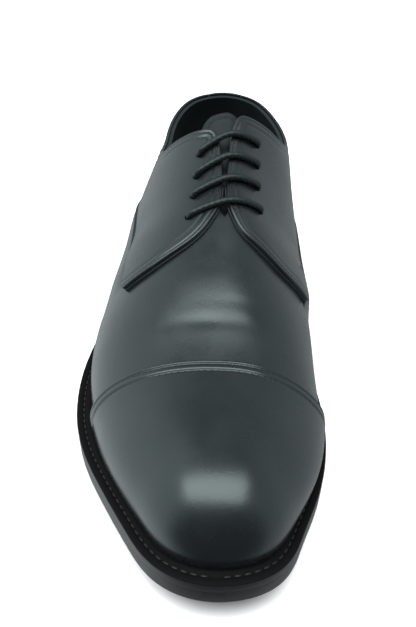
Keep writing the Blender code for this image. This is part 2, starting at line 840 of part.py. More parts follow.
def lace_bar(number, finish, collection):
    """Straight bar of lace between one pair of eyelets."""
    outer_lift = GAP + QUARTER_THICKNESS
    pair = {side: EYELETS[side][number] for side in SIDES}
    path = lace_path(pair, outer_lift - LACE_DIP, outer_lift)
    curve = bpy.data.curves.new(f"lace_bar_{number + 1}", "CURVE")
    curve.dimensions = "3D"
    curve.bevel_depth = LACE_DIAMETER / 2
    curve.bevel_resolution = LACE_SIDES // 4
    curve.use_fill_caps = True
    spline = curve.splines.new("POLY")
    spline.points.add(len(path) - 1)
    for point, place in zip(spline.points, path):
        point.co = (*place, 1.0)
    curve.materials.append(finish)
    bar = bpy.data.objects.new(curve.name, curve)
    collection.objects.link(bar)
    return bar


def eyelet_cutter(side, name, collection):
    """Drills for the eyelets of one side, each square to the form."""
    body = bmesh.new()
    for eyelet in EYELETS[side]:
        low = place_on_form(side, eyelet.around, eyelet.up, -WALL - CUT_PAST)
        high = place_on_form(side, eyelet.around, eyelet.up, GAP + QUARTER_THICKNESS + CUT_PAST)
        axis = high - low
        drill = bmesh.ops.create_cone(
            body, cap_ends=True, segments=EYELET_SIDES, depth=axis.length,
            radius1=EYELET_RADIUS, radius2=EYELET_RADIUS)
        turn = Vector((0, 0, 1)).rotation_difference(axis).to_matrix()
        bmesh.ops.rotate(body, verts=drill["verts"], matrix=turn)
        bmesh.ops.translate(body, verts=drill["verts"], vec=(low + high) / 2)
    mesh = bpy.data.meshes.new(name)
    body.to_mesh(mesh)
    body.free()
    cutter = add_piece(name, mesh, None, collection)
    cutter.hide_render = True
    cutter.display_type = "WIRE"
    return cutter


def drilled(piece, cutter):
    """Live cut of the eyelet holes."""
    cut = piece.modifiers.new("eyelet_holes", "BOOLEAN")
    cut.operation = "DIFFERENCE"
    cut.solver = "EXACT"
    cut.object = cutter


def clear_scene():
    """Remove what the scene holds."""
    for item in list(bpy.data.objects):
        bpy.data.objects.remove(item, do_unlink=True)


def stand_at_origin(pieces):
    """Hang the pieces on an empty that centres them over the origin, standing on it."""
    bpy.context.view_layer.update()
    corners = [piece.matrix_world @ Vector(corner) for piece in pieces
               for corner in piece.bound_box]
    low = Vector(min(corner[k] for corner in corners) for k in range(3))
    high = Vector(max(corner[k] for corner in corners) for k in range(3))
    base = bpy.data.objects.new("shoe_base", None)
    base.location = (-(low.x + high.x) / 2, -(low.y + high.y) / 2, -low.z)
    bpy.context.scene.collection.objects.link(base)
    return base


def main():
    """Build the shoe."""
    clear_scene()
    shoe = bpy.data.collections.new("derby_shoe")
    cutters = bpy.data.collections.new("cutters")
    bpy.context.scene.collection.children.link(shoe)
    bpy.context.scene.collection.children.link(cutters)
    calf = material("black_calf", (0.030, 0.034, 0.036), 0.30)
    lining = material("black_lining", (0.025, 0.030, 0.033), 0.60)
    welt_leather = material("blackened_welt", (0.020, 0.022, 0.024), 0.70)
    sole_rubber = material("black_rubber", (0.030, 0.031, 0.033), 0.55)
    cord = material("waxed_black_cotton", (0.018, 0.020, 0.022), 0.75)

    upper = add_piece("upper", upper_mesh(), calf, shoe)
    quarters = {
        LATERAL: add_piece("quarter_lateral", quarter_mesh(LATERAL, "quarter_lateral"), calf, shoe),
        MEDIAL: add_piece("quarter_medial", quarter_mesh(MEDIAL, "quarter_medial"), calf, shoe),
    }
    for side, name in ((LATERAL, "drill_lateral"), (MEDIAL, "drill_medial")):
        cutter = eyelet_cutter(side, name, cutters)
        drilled(upper, cutter)
        drilled(quarters[side], cutter)
    pieces = [upper, *quarters.values()]
    pieces.append(add_piece("toe_cap", cap_mesh(), calf, shoe))
    pieces.append(add_piece("back_strip", strip_mesh(), calf, shoe))
    pieces.append(add_piece("tongue", tongue_mesh(), calf, shoe))
    pieces.append(add_piece("insole", insole_mesh(), lining, shoe))
    pieces.append(add_piece("welt", welt_mesh(), welt_leather, shoe))
    outsole = add_piece("outsole", slab_mesh("outsole", SOLE_EDGE, sole_stations(), outsole_top, tread),
                        sole_rubber, shoe)
    heel = add_piece("heel", heel_mesh(), sole_rubber, shoe)
    top_piece = add_piece("top_piece", top_piece_mesh(), sole_rubber, shoe)
    for sole_piece in (outsole, heel, top_piece):
        rounded(sole_piece, EDGE_ROUND)
        pieces.append(sole_piece)
    for number in range(len(EYELETS[LATERAL])):
        pieces.append(lace_bar(number, cord, shoe))
    base = stand_at_origin(pieces)
    for piece in pieces + list(cutters.objects):
        piece.parent = base


main()
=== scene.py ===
"""Looks of a black cap-toe derby shoe for the right foot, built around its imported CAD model.

Lengths are metres in the frame of the CAD model: +Z is up, the toe points to -Y and the
inner side of the foot is +X. A spot on the upper is (around, across): around runs from the
heel (0) to the toe (1) along the feather line, where upper and welt meet, and across from
the outer feather line (-1) over the ridge (0) to the inner feather line (+1).
"""

import logging
import math
import sys
from dataclasses import dataclass, field
from enum import Enum, IntEnum
from typing import Callable, Iterable, Optional, Sequence

import bmesh
import bpy
import numpy as np
from mathutils import Matrix, Vector


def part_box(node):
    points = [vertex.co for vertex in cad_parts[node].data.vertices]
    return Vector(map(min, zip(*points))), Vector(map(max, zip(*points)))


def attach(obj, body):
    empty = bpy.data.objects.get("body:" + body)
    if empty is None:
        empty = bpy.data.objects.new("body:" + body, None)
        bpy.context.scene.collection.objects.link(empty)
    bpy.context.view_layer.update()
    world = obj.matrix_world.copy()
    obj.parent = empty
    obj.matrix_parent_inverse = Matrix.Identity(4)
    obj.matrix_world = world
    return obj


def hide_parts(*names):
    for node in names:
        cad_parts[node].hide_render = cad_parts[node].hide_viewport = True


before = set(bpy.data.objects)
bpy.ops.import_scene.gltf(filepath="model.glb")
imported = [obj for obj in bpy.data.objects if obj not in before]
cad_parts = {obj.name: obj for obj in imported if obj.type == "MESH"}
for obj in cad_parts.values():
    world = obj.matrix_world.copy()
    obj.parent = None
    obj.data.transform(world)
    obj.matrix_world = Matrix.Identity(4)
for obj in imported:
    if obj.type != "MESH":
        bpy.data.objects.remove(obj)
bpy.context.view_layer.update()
LOG = logging.getLogger("derby_shoe")
MM = 0.001
# how far the pieces of the upper reach down to the feather line, as a share across
FOOT = 0.985
# (around, across) of the outer and the inner bar tack
TACK_SPOTS = ((0.583, -0.425), (0.556, 0.575))
UP = (0.0, 0.0, 1.0)


class Side(Enum):
    """Side of the foot, with the sign of its across values."""

    OUTER = -1
    INNER = 1


class Slot(Enum):
    """Material slots of the pieces."""

    CALF = "calf"
    LINING = "lining"
    WELT = "welt_leather"
    RUBBER = "sole_rubber"
    CORD = "cord"


class Column(IntEnum):
    """Columns of the table of sections."""

    OUTER = 1
    INNER = 2
    OUTER_SWELL = 3
    INNER_SWELL = 4
    FULLNESS = 5
    RISE = 6
    HEIGHT = 7
    RIDGE = 8


def flowing(xs: np.ndarray, ys: np.ndarray, x: np.ndarray) -> np.ndarray:
    """Natural cubic spline through a table.

    Args:
        xs: Places of the table, rising.
        ys: Values of the table.
        x: Places to read.

    Returns:
        The values there.
    """
    x = np.clip(np.asarray(x, float), xs[0], xs[-1])
    count = len(xs)
    span = np.diff(xs)
    system = np.eye(count)
    pull = np.zeros(count)
    for k in range(1, count - 1):
        system[k, k - 1:k + 2] = span[k - 1], 2 * (span[k - 1] + span[k]), span[k]
        pull[k] = 6 * ((ys[k + 1] - ys[k]) / span[k] - (ys[k] - ys[k - 1]) / span[k - 1])
    bend = np.linalg.solve(system, pull)
    i = np.clip(np.searchsorted(xs, x, side="right") - 1, 0, count - 2)
    after = x - xs[i]
    before = xs[i + 1] - x
    return ((bend[i] * before ** 3 + bend[i + 1] * after ** 3) / (6 * span[i])
            + (ys[i] / span[i] - bend[i] * span[i] / 6) * before
            + (ys[i + 1] / span[i] - bend[i + 1] * span[i] / 6) * after)


def steady(xs: np.ndarray, ys: np.ndarray, x: np.ndarray) -> np.ndarray:
    """Monotone cubic through a table, which stays flat where the table is flat.

    Args:
        xs: Places of the table, rising.
        ys: Values of the table.
        x: Places to read.

    Returns:
        The values there.
    """
    xs = np.asarray(xs, float)
    ys = np.asarray(ys, float)
    x = np.clip(np.asarray(x, float), xs[0], xs[-1])
    span = np.diff(xs)
    slope = np.diff(ys) / span
    tangent = np.zeros(len(xs))
    left = 2 * span[1:] + span[:-1]
    right = span[1:] + 2 * span[:-1]
    same = slope[:-1] * slope[1:] > 0
    mean = (left + right) / (left / np.where(same, slope[:-1], 1)
                             + right / np.where(same, slope[1:], 1))
    tangent[1:-1] = np.where(same, mean, 0)
    tangent[0] = slope[0]
    tangent[-1] = slope[-1]
    i = np.clip(np.searchsorted(xs, x, side="right") - 1, 0, len(span) - 1)
    t = (x - xs[i]) / span[i]
    return ((1 + 2 * t) * (1 - t) ** 2 * ys[i] + t * (1 - t) ** 2 * span[i] * tangent[i]
            + t * t * (3 - 2 * t) * ys[i + 1] + t * t * (t - 1) * span[i] * tangent[i + 1])


def path_through(spots: Sequence[Sequence[float]], count: int) -> np.ndarray:
    """Smooth open path through given spots.

    Args:
        spots: Rows of coordinates.
        count: Points wanted.

    Returns:
        The points of the path, evenly spread along it.
    """
    spots = np.asarray(spots, float)
    run = run_along(spots)
    fine = np.linspace(0, run[-1], count)
    return np.stack([flowing(run, spots[:, k], fine) for k in range(spots.shape[1])], -1)


def run_along(points: np.ndarray) -> np.ndarray:
    """Distance along a line of points, at each of them."""
    steps = np.linalg.norm(np.diff(points, axis=0), axis=1)
    return np.concatenate([[0], np.cumsum(steps)])


def interpolated(marks: np.ndarray, run: np.ndarray, rows: np.ndarray) -> np.ndarray:
    """Rows of numbers read at marks, where run is the mark of each row."""
    return np.stack([np.interp(marks, run, column) for column in rows.T], -1)


def read_table(table: Sequence, x: np.ndarray, column: int = 1) -> np.ndarray:
    """One column of a table read at x, a value of its first column."""
    table = np.asarray(table, float)
    return steady(table[:, 0], table[:, column], x)


def unit(vectors: np.ndarray) -> np.ndarray:
    """Vectors brought to length one."""
    return vectors / np.linalg.norm(vectors, axis=-1, keepdims=True)


def eased(share: np.ndarray) -> np.ndarray:
    """Share held between 0 and 1, with a soft start and a soft end."""
    share = np.clip(share, 0, 1)
    return share * share * (3 - 2 * share)


def spots_at(around: np.ndarray, across: np.ndarray) -> np.ndarray:
    """Spots (around, across), where either may have fewer dimensions."""
    return np.stack(np.broadcast_arrays(around, across), -1)


def closed_curve(points: np.ndarray, steps: int) -> np.ndarray:
    """Smooth closed curve through points in plan.

    Args:
        points: Rows of (x, y).
        steps: Points wanted between two of them.

    Returns:
        The dense loop, which starts at the first point.
    """
    count = len(points)
    following = np.roll(points, -1, axis=0)
    span = np.sqrt(np.hypot(*(following - points).T))
    system = np.zeros((count, count))
    pull = np.zeros((count, 2))
    for i in range(count):
        system[i, i - 1] += span[i - 1]
        system[i, i] += 2 * (span[i - 1] + span[i])
        system[i, (i + 1) % count] += span[i]
        ahead = (following[i] - points[i]) / span[i]
        behind = (points[i] - points[i - 1]) / span[i - 1]
        pull[i] = 6 * (ahead - behind)
    bend = np.linalg.solve(system, pull)
    bend_after = np.roll(bend, -1, axis=0)
    loop = []
    for i in range(count):
        after = np.linspace(0, span[i], steps, endpoint=False)[:, None]
        before = span[i] - after
        loop.append((bend[i] * before ** 3 + bend_after[i] * after ** 3) / (6 * span[i])
                    + (points[i] / span[i] - bend[i] * span[i] / 6) * before
                    + (following[i] / span[i] - bend_after[i] * span[i] / 6) * after)
    return np.concatenate(loop)


class Outline:
    """Closed outline seen from above, as one curve for each side from heel to toe."""

    NUDGE = 0.002
    STEPS = 900

    def __init__(self, curves: dict[Side, np.ndarray]) -> None:
        """Store the curves.

        Args:
            curves: Rows of (across, place) for each side, place from the back of the form.
        """
        self.across = {side: curve[:, 0] for side, curve in curves.items()}
        self.place = {side: np.maximum.accumulate(curve[:, 1]) for side, curve in curves.items()}
        self.places = np.unique(np.concatenate(list(self.place.values())))
        self.shares = np.zeros(len(self.places))
        for side, curve in curves.items():
            run = run_along(curve)
            self.shares += np.interp(self.places, self.place[side], run / run[-1]) / len(Side)

    def place_at(self, around: np.ndarray) -> np.ndarray:
        """Place of a share around, which is the same on both sides."""
        return np.interp(around, self.shares, self.places)

    def share_at(self, place: float) -> float:
        """Share around that lies at a place."""
        return float(np.interp(place, self.places, self.shares))

    def points(self, side: Side, around: np.ndarray) -> np.ndarray:
        """Points (across, place) of one side at shares around."""
        place = self.place_at(around)
        return np.stack([np.interp(place, self.place[side], self.across[side]), place], -1)

    def outward(self, side: Side, around: np.ndarray) -> np.ndarray:
        """Unit directions that point out of the outline at shares around."""
        around = np.asarray(around, float)
        run = (self.points(side, np.clip(around + self.NUDGE, 0, 1))
               - self.points(side, np.clip(around - self.NUDGE, 0, 1)))
        run = np.where((around <= 0)[:, None], (side.value, 0.0), run)
        run = np.where((around >= 1)[:, None], (-side.value, 0.0), run)
        run = unit(run)
        return np.stack([run[:, 1] * side.value, -run[:, 0] * side.value], -1)

    def grown(self, distance: Callable[[Side, np.ndarray], np.ndarray]) -> "Outline":
        """Move the outline outwards.

        Args:
            distance: Gives the distance for a side and shares around.

        Returns:
            The larger outline.
        """
        around = np.linspace(0, 1, self.STEPS)
        curves = {}
        for side in Side:
            reach = np.broadcast_to(distance(side, around), around.shape)
            curves[side] = (self.points(side, around)
                            + self.outward(side, around) * reach[:, None])
        return Outline(curves)


@dataclass
class Last:
    """The form that the shoe is made over, as in the CAD model.

    Half widths and swells are shares of the ball width. Height is a share of the instep
    height over the feather line, and fullness and rise shape the curve up to the ridge.
    """

    length: float = 0.270
    heel_taken: float = 0.019
    ball_width: float = 0.0925
    instep_height: float = 0.086
    heel_height: float = 0.024
    toe_spring: float = 0.012
    outsole: float = 0.0062
    welt: float = 0.0034
    gap: float = 0.0003
    # along, outer, inner, outer swell, inner swell, fullness, rise, height, ridge
    sections: tuple = (
        (0.000, 0.000, 0.000, 0.025, 0.025, 1.40, 1.00, 1.080, 0.000),
        (0.025, 0.190, 0.175, 0.020, 0.020, 1.60, 1.00, 1.100, 0.000),
        (0.090, 0.300, 0.290, 0.010, 0.015, 1.70, 1.00, 1.140, 0.010),
        (0.200, 0.335, 0.325, 0.010, 0.045, 1.25, 1.00, 1.170, 0.020),
        (0.320, 0.325, 0.270, 0.040, 0.115, 0.80, 1.00, 1.060, 0.020),
        (0.400, 0.375, 0.255, 0.080, 0.145, 0.90, 1.00, 0.910, 0.023),
        (0.500, 0.455, 0.290, 0.065, 0.140, 1.00, 0.96, 0.790, 0.025),
        (0.600, 0.535, 0.370, 0.042, 0.100, 1.00, 0.92, 0.710, 0.028),
        (0.700, 0.550, 0.430, 0.030, 0.045, 0.95, 0.88, 0.570, 0.033),
        (0.790, 0.490, 0.430, 0.015, 0.045, 0.90, 0.86, 0.445, 0.038),
        (0.870, 0.370, 0.380, 0.020, 0.040, 0.86, 0.84, 0.390, 0.036),
        (0.935, 0.245, 0.300, 0.015, 0.024, 0.82, 0.82, 0.350, 0.032),
        (0.982, 0.130, 0.215, 0.012, 0.010, 0.80, 0.80, 0.315, 0.030),
        (1.000, 0.030, -0.030, 0.010, 0.010, 0.80, 0.80, 0.290, 0.030),
    )
    # along, share of the heel height, share of the toe spring
    levels: tuple = (
        (-0.03, 1.01, 0.00), (0.00, 1.00, 0.00), (0.12, 0.96, 0.00), (0.24, 0.86, 0.00),
        (0.34, 0.64, 0.00), (0.44, 0.36, 0.00), (0.54, 0.12, 0.00), (0.62, 0.00, 0.00),
        (0.70, 0.00, 0.00), (0.80, 0.00, 0.14), (0.90, 0.00, 0.50), (1.00, 0.00, 1.00),
        (1.04, 0.00, 1.22),
    )
    # along, share of the length taken from the heel part that lies behind it
    taken: tuple = (
        (-0.03, -0.09), (0.00, 0.00), (0.12, 0.36), (0.24, 0.72), (0.34, 0.96),
        (0.39, 1.00), (1.04, 1.00),
    )
    # where the rib from a place on the feather line meets the ridge
    fans: tuple = (
        (0.00, 0.170), (0.08, 0.205), (0.30, 0.310), (0.74, 0.735), (0.92, 0.853),
        (1.00, 0.875),
    )
    # around, how far the welt stands out on the outer and the inner side
    margins: tuple = (
        (0.00, 0.054, 0.054), (0.25, 0.060, 0.052), (0.45, 0.078, 0.055),
        (0.60, 0.092, 0.070), (0.72, 0.090, 0.076), (0.85, 0.078, 0.070),
        (1.00, 0.080, 0.080),
    )
    rib_steps: int = 160
    curve_steps: int = 60
    # brings the peak of the curve of a swell to 1
    swell_scale: float = 6.75
    lay: float = field(init=False)
    feather: Outline = field(init=False)
    sole_edge: Outline = field(init=False)
    shift: np.ndarray = field(init=False)

    def __post_init__(self) -> None:
        """Work out the outlines and where the CAD model has the form."""
        self.lay = self.length + self.heel_taken
        table = np.array(self.sections)
        rows = table[1:-1]
        outer = [(-row[Column.OUTER] * self.ball_width, row[0] * self.lay) for row in rows]
        inner = [(row[Column.INNER] * self.ball_width, row[0] * self.lay) for row in rows[::-1]]
        tip = [(table[-1, Column.OUTER] * self.ball_width, self.lay)]
        loop = closed_curve(np.array([(0.0, 0.0)] + outer + tip + inner), self.curve_steps)
        loop = np.roll(loop, -np.argmin(loop[:, 1]), axis=0)
        toe = np.argmax(loop[:, 1])
        back = np.vstack([loop[toe:], loop[:1]])
        self.feather = Outline({Side.OUTER: loop[:toe + 1], Side.INNER: back[::-1]})
        self.sole_edge = self.feather.grown(self.margin)
        reach = np.concatenate([self.sole_edge.points(side, np.linspace(0, 1, 400))
                                for side in Side])
        self.shift = np.zeros(3)
        reach = self.placed(reach, np.zeros(len(reach)))
        low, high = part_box("outsole")
        middle = 0.5 * (reach.min(0) + reach.max(0))
        self.shift[:2] = 0.5 * (np.array(low) + np.array(high))[:2] - middle[:2]

    def section(self, column: Column, along: np.ndarray) -> np.ndarray:
        """One column of the sections at places along the form."""
        table = np.array(self.sections)
        return flowing(table[:, 0], table[:, column], along)

    def margin(self, side: Side, around: np.ndarray) -> np.ndarray:
        """How far the welt stands out past the feather line."""
        column = 1 if side is Side.OUTER else 2
        return read_table(self.margins, around, column) * self.ball_width

    def tread(self, place: np.ndarray) -> np.ndarray:
        """Height of the underside of the outsole at a place."""
        along = np.asarray(place) / self.lay
        return (self.heel_height * read_table(self.levels, along)
                + self.toe_spring * read_table(self.levels, along, 2))

    def outsole_top(self, place: np.ndarray) -> np.ndarray:
        """Height of the upper side of the outsole at a place."""
        return self.tread(place) + self.outsole

    def welt_top(self, place: np.ndarray) -> np.ndarray:
        """Height of the upper side of the welt at a place."""
        return self.outsole_top(place) + self.gap + self.welt

    def feather_height(self, place: np.ndarray) -> np.ndarray:
        """Height of the lower edge of the upper at a place."""
        return self.welt_top(place) + self.gap

    def ridge(self, place: np.ndarray) -> tuple[np.ndarray, np.ndarray]:
        """Across and height of the ridge at a place."""
        along = place / self.lay
        across = self.section(Column.RIDGE, along) * self.ball_width
        rise = self.section(Column.HEIGHT, along) * self.instep_height
        return across, self.feather_height(place) + rise

    def ribs(self, side: Side, around: np.ndarray) -> np.ndarray:
        """Draw curves from the feather line to the ridge.

        Args:
            side: Side of the foot.
            around: Shares around, one for each curve.

        Returns:
            The curves, in form coordinates.
        """
        foot = self.feather.points(side, around)
        along = foot[:, 1] / self.lay
        head_place = read_table(self.fans, along) * self.lay
        head = np.stack([self.ridge(head_place)[0], head_place], -1)
        turn = np.linspace(0, math.pi / 2, self.rib_steps + 1)
        inward = np.cos(turn) ** self.section(Column.FULLNESS, along)[:, None]
        inward[:, -1] = 0
        climb = np.sin(turn) ** self.section(Column.RISE, along)[:, None]
        column = Column.OUTER_SWELL if side is Side.OUTER else Column.INNER_SWELL
        swell = self.section(column, along) * self.ball_width
        puff = self.swell_scale * climb * (1 - climb) ** 2
        out = self.feather.outward(side, around) * swell[:, None]
        plan = head[:, None] + (foot - head)[:, None] * inward[..., None]
        plan = plan + out[:, None] * puff[..., None]
        low = self.feather_height(foot[:, 1])[:, None]
        high = self.ridge(plan[..., 1])[1]
        return np.concatenate([plan, (low + (high - low) * climb)[..., None]], -1)

    def world(self, points: np.ndarray) -> np.ndarray:
        """Form coordinates (across, place, height) in the frame of the CAD model."""
        moved = np.array(points, float)
        share = read_table(self.taken, moved[..., 1] / self.lay)
        moved[..., 1] = self.length / 2 - moved[..., 1] + share * self.heel_taken
        return moved + self.shift

    def placed(self, plan: np.ndarray, height: np.ndarray) -> np.ndarray:
        """Plan points (across, place) at heights, in the frame of the CAD model."""
        return self.world(np.concatenate([plan, height[..., None]], -1))


class Skin:
    """The outside of the form as a smooth surface that can be read at any spot."""

    AROUND_STEPS = 560
    UP_STEPS = 240
    MARGIN = 16
    SOFTEN = 3.0
    NUDGE = 0.001
    ROUNDS = 3
    HEIGHT_STEPS = 200

    def __init__(self, last: Last) -> None:
        """Tabulate the form of a last once, finely, and soften its joints.

        Args:
            last: The form.
        """
        self.last = last
        around = np.linspace(0, 1, self.AROUND_STEPS + 1)
        up = np.linspace(0, 1, self.UP_STEPS + 1)
        halves = {}
        for side in Side:
            curves = last.ribs(side, around)
            run = np.linalg.norm(np.diff(curves, axis=1), axis=2)
            run = np.concatenate([np.zeros((len(curves), 1)), np.cumsum(run, axis=1)], 1)
            run = run / run[:, -1:]
            even = [[np.interp(up, run[i], curve[:, k]) for k in range(3)]
                    for i, curve in enumerate(curves)]
            halves[side] = last.world(np.array(even).transpose(0, 2, 1))
        whole = np.concatenate([halves[Side.OUTER], halves[Side.INNER][:, -2::-1]], 1)
        self.places = self._softened(self._padded(whole))
        self.outs = unit(np.cross(*np.gradient(self.places, axis=(0, 1))))

    def _padded(self, whole: np.ndarray) -> np.ndarray:
        """The table with a margin: over the seams at heel and toe, and below the edge."""
        pad = self.MARGIN
        behind = whole[pad:0:-1, ::-1]
        ahead = whole[-2:-pad - 2:-1, ::-1]
        long = np.concatenate([behind, whole, ahead], 0)
        first = 2 * long[:, :1] - long[:, pad:0:-1]
        last = 2 * long[:, -1:] - long[:, -2:-pad - 2:-1]
        return np.concatenate([first, long, last], 1)

    def _softened(self, table: np.ndarray) -> np.ndarray:
        """The table after a small blur, which takes the corners out of its curvature."""
        reach = int(3 * self.SOFTEN)
        taps = np.exp(-0.5 * (np.arange(-reach, reach + 1) / self.SOFTEN) ** 2)
        taps = taps / taps.sum()
        for axis in (0, 1):
            size = table.shape[axis]
            table = sum(tap * np.take(table, np.clip(np.arange(size) + shift, 0, size - 1), axis)
                        for shift, tap in zip(range(-reach, reach + 1), taps))
        return table

    @staticmethod
    def _taps(share: np.ndarray) -> list[np.ndarray]:
        """Weights of the four neighbours of a smooth reading between two samples."""
        return [
            -0.5 * share + share ** 2 - 0.5 * share ** 3,
            1 - 2.5 * share ** 2 + 1.5 * share ** 3,
            0.5 * share + 2 * share ** 2 - 1.5 * share ** 3,
            -0.5 * share ** 2 + 0.5 * share ** 3,
        ]

    def _read(self, table: np.ndarray, spots: np.ndarray) -> np.ndarray:
        """Read a table smoothly.

        Args:
            table: Grid of vectors with its margin.
            spots: Rows of (around, across).

        Returns:
            The vectors there.
        """
        across_steps = 2 * self.UP_STEPS
        x = spots[..., 0] * self.AROUND_STEPS + self.MARGIN
        y = (spots[..., 1] + 1) / 2 * across_steps + self.MARGIN
        i = np.clip(np.floor(x).astype(int), 1, table.shape[0] - 3)
        j = np.clip(np.floor(y).astype(int), 1, table.shape[1] - 3)
        around_taps = self._taps(x - i)
        across_taps = self._taps(y - j)
        value = np.zeros(spots.shape[:-1] + (3,))
        for a, tap in enumerate(around_taps):
            for b, other in enumerate(across_taps):
                value += (tap * other)[..., None] * table[i + a - 1, j + b - 1]
        return value

    def out(self, spots: np.ndarray) -> np.ndarray:
        """Unit directions out of the form at spots."""
        return unit(self._read(self.outs, spots))

    def at(self, spots: np.ndarray, lift: np.ndarray | float = 0.0) -> np.ndarray:
        """Points at a distance outside the form.

        Args:
            spots: Rows of (around, across).
            lift: Distance outwards at each spot.

        Returns:
            The points.
        """
        lift = np.broadcast_to(lift, spots.shape[:-1])
        return self._read(self.places, spots) + self.out(spots) * lift[..., None]

    def moved(self, spots: np.ndarray, step: np.ndarray) -> np.ndarray:
        """Move spots over the surface.

        Args:
            spots: Rows of (around, across).
            step: How far each moves, as a vector in space.

        Returns:
            The moved spots.
        """
        h = self.NUDGE
        spots = np.array(spots, float)
        for _ in range(self.ROUNDS):
            target = self.at(spots) + step
            here = self.at(spots)
            ahead = (self.at(spots + (h, 0)) - self.at(spots - (h, 0))) / (2 * h)
            aside = (self.at(spots + (0, h)) - self.at(spots - (0, h))) / (2 * h)
            gap = target - here
            aa = (ahead * ahead).sum(-1)
            ab = (ahead * aside).sum(-1)
            bb = (aside * aside).sum(-1)
            ga = (gap * ahead).sum(-1)
            gb = (gap * aside).sum(-1)
            scale = aa * bb - ab * ab
            change = np.stack([(ga * bb - gb * ab) / scale, (gb * aa - ga * ab) / scale], -1)
            spots = spots + change
            step = target - self.at(spots)
        return spots

    def beside(self, path: np.ndarray, distance: float) -> np.ndarray:
        """Path over the surface beside another one.

        Args:
            path: Rows of (around, across).
            distance: How far to the left of the path, seen from outside.

        Returns:
            The shifted path.
        """
        ahead = unit(np.gradient(self.at(path), axis=0))
        left = np.cross(self.out(path), ahead)
        return self.moved(path, left * distance)

    def even(self, path: np.ndarray, spacing: float) -> np.ndarray:
        """Path with its points at an even spacing in space.

        Args:
            path: Rows of (around, across).
            spacing: Distance wanted between points.

        Returns:
            The path with new points.
        """
        run = run_along(self.at(path))
        count = max(2, int(round(run[-1] / spacing)) + 1)
        return interpolated(np.linspace(0, run[-1], count), run, path)

    def up_at_height(self, side: Side, around: np.ndarray, height: np.ndarray) -> np.ndarray:
        """Find where a side reaches heights.

        Args:
            side: Side of the foot.
            around: Shares around.
            height: Height to reach at each of them.

        Returns:
            The across values.
        """
        up = np.linspace(0, 1, self.HEIGHT_STEPS)
        found = []
        for share, level in zip(around, height):
            spots = spots_at(share, side.value * (1 - up))
            found.append(side.value * (1 - np.interp(level, self.at(spots)[:, 2], up)))
        return np.array(found)


def distance_to(points: np.ndarray, line: np.ndarray) -> np.ndarray:
    """Distance of each point from a line of points.

    Args:
        points: Any array of points.
        line: Rows of points, taken as joined up.

    Returns:
        The distances, in the shape of the points.
    """
    flat = points.reshape(-1, 3)
    start = line[:-1]
    span = line[1:] - start
    length = (span ** 2).sum(1)
    best = np.full(len(flat), np.inf)
    chunk = 2000
    for first in range(0, len(flat), chunk):
        away = flat[first:first + chunk, None] - start[None]
        share = np.clip((away * span).sum(-1) / length, 0, 1)
        away = away - share[..., None] * span
        best[first:first + chunk] = np.sqrt((away ** 2).sum(-1).min(1))
    return best.reshape(points.shape[:-1])


def graded(length: float, fine: float, coarse: float, start: bool, end: bool,
           band: float = 0.006) -> np.ndarray:
    """Shares from 0 to 1 along a length, closer together near the chosen ends.

    Args:
        length: The whole length.
        fine: Spacing near a chosen end.
        coarse: Spacing elsewhere.
        start: Whether the start is fine.
        end: Whether the end is fine.
        band: Width of a fine end.

    Returns:
        The shares.
    """
    fine_x = np.linspace(0, length, 400)
    near = np.full(len(fine_x), np.inf)
    if start:
        near = np.minimum(near, fine_x)
    if end:
        near = np.minimum(near, length - fine_x)
    mix = np.clip((near - band) / band, 0, 1)
    density = 1 / (fine + (coarse - fine) * mix)
    run = np.concatenate([[0], np.cumsum(0.5 * (density[1:] + density[:-1]) * np.diff(fine_x))])
    count = max(3, int(math.ceil(run[-1])))
    return np.interp(np.linspace(0, run[-1], count + 1), run, fine_x) / length


def linear(code: str) -> tuple[float, float, float, float]:
    """Linear colour of an sRGB hex code."""
    parts = [int(code[i:i + 2], 16) / 255 for i in (1, 3, 5)]
    return (*(p / 12.92 if p <= 0.04045 else ((p + 0.055) / 1.055) ** 2.4 for p in parts), 1.0)


def add_node(tree: bpy.types.NodeTree, kind: str, settings: Optional[dict] = None,
             inputs: Optional[dict] = None) -> bpy.types.Node:
    """Add a node with its settings, its values and the links that feed it.

    Args:
        tree: Node tree to add to.
        kind: Node type.
        settings: Properties of the node.
        inputs: Values, or output sockets to link, by input name or number.

    Returns:
        The node.
    """
    node = tree.nodes.new(kind)
    for name, value in (settings or {}).items():
        setattr(node, name, value)
    for name, value in (inputs or {}).items():
        socket = node.inputs[name]
        if isinstance(value, bpy.types.NodeSocket):
            tree.links.new(value, socket)
        else:
            socket.default_value = value
    return node


@dataclass(frozen=True)
class Finish:
    """A surface: a material with the constants of its shader."""

    name: str
    colour: str
    roughness: float
    ior: float = 1.5

    def make(self) -> bpy.types.Material:
        """Build the material.

        Returns:
            The finished material.
        """
        made = bpy.data.materials.new(self.name)
        made.use_nodes = True
        shader = made.node_tree.nodes["Principled BSDF"]
        shader.inputs["Base Color"].default_value = linear(self.colour)
        shader.inputs["Roughness"].default_value = self.roughness
        shader.inputs["IOR"].default_value = self.ior
        self.dress(made.node_tree, shader)
        return made

    def dress(self, tree: bpy.types.NodeTree, shader: bpy.types.Node) -> None:
        """Add the pattern of the surface. The plain finish has none."""


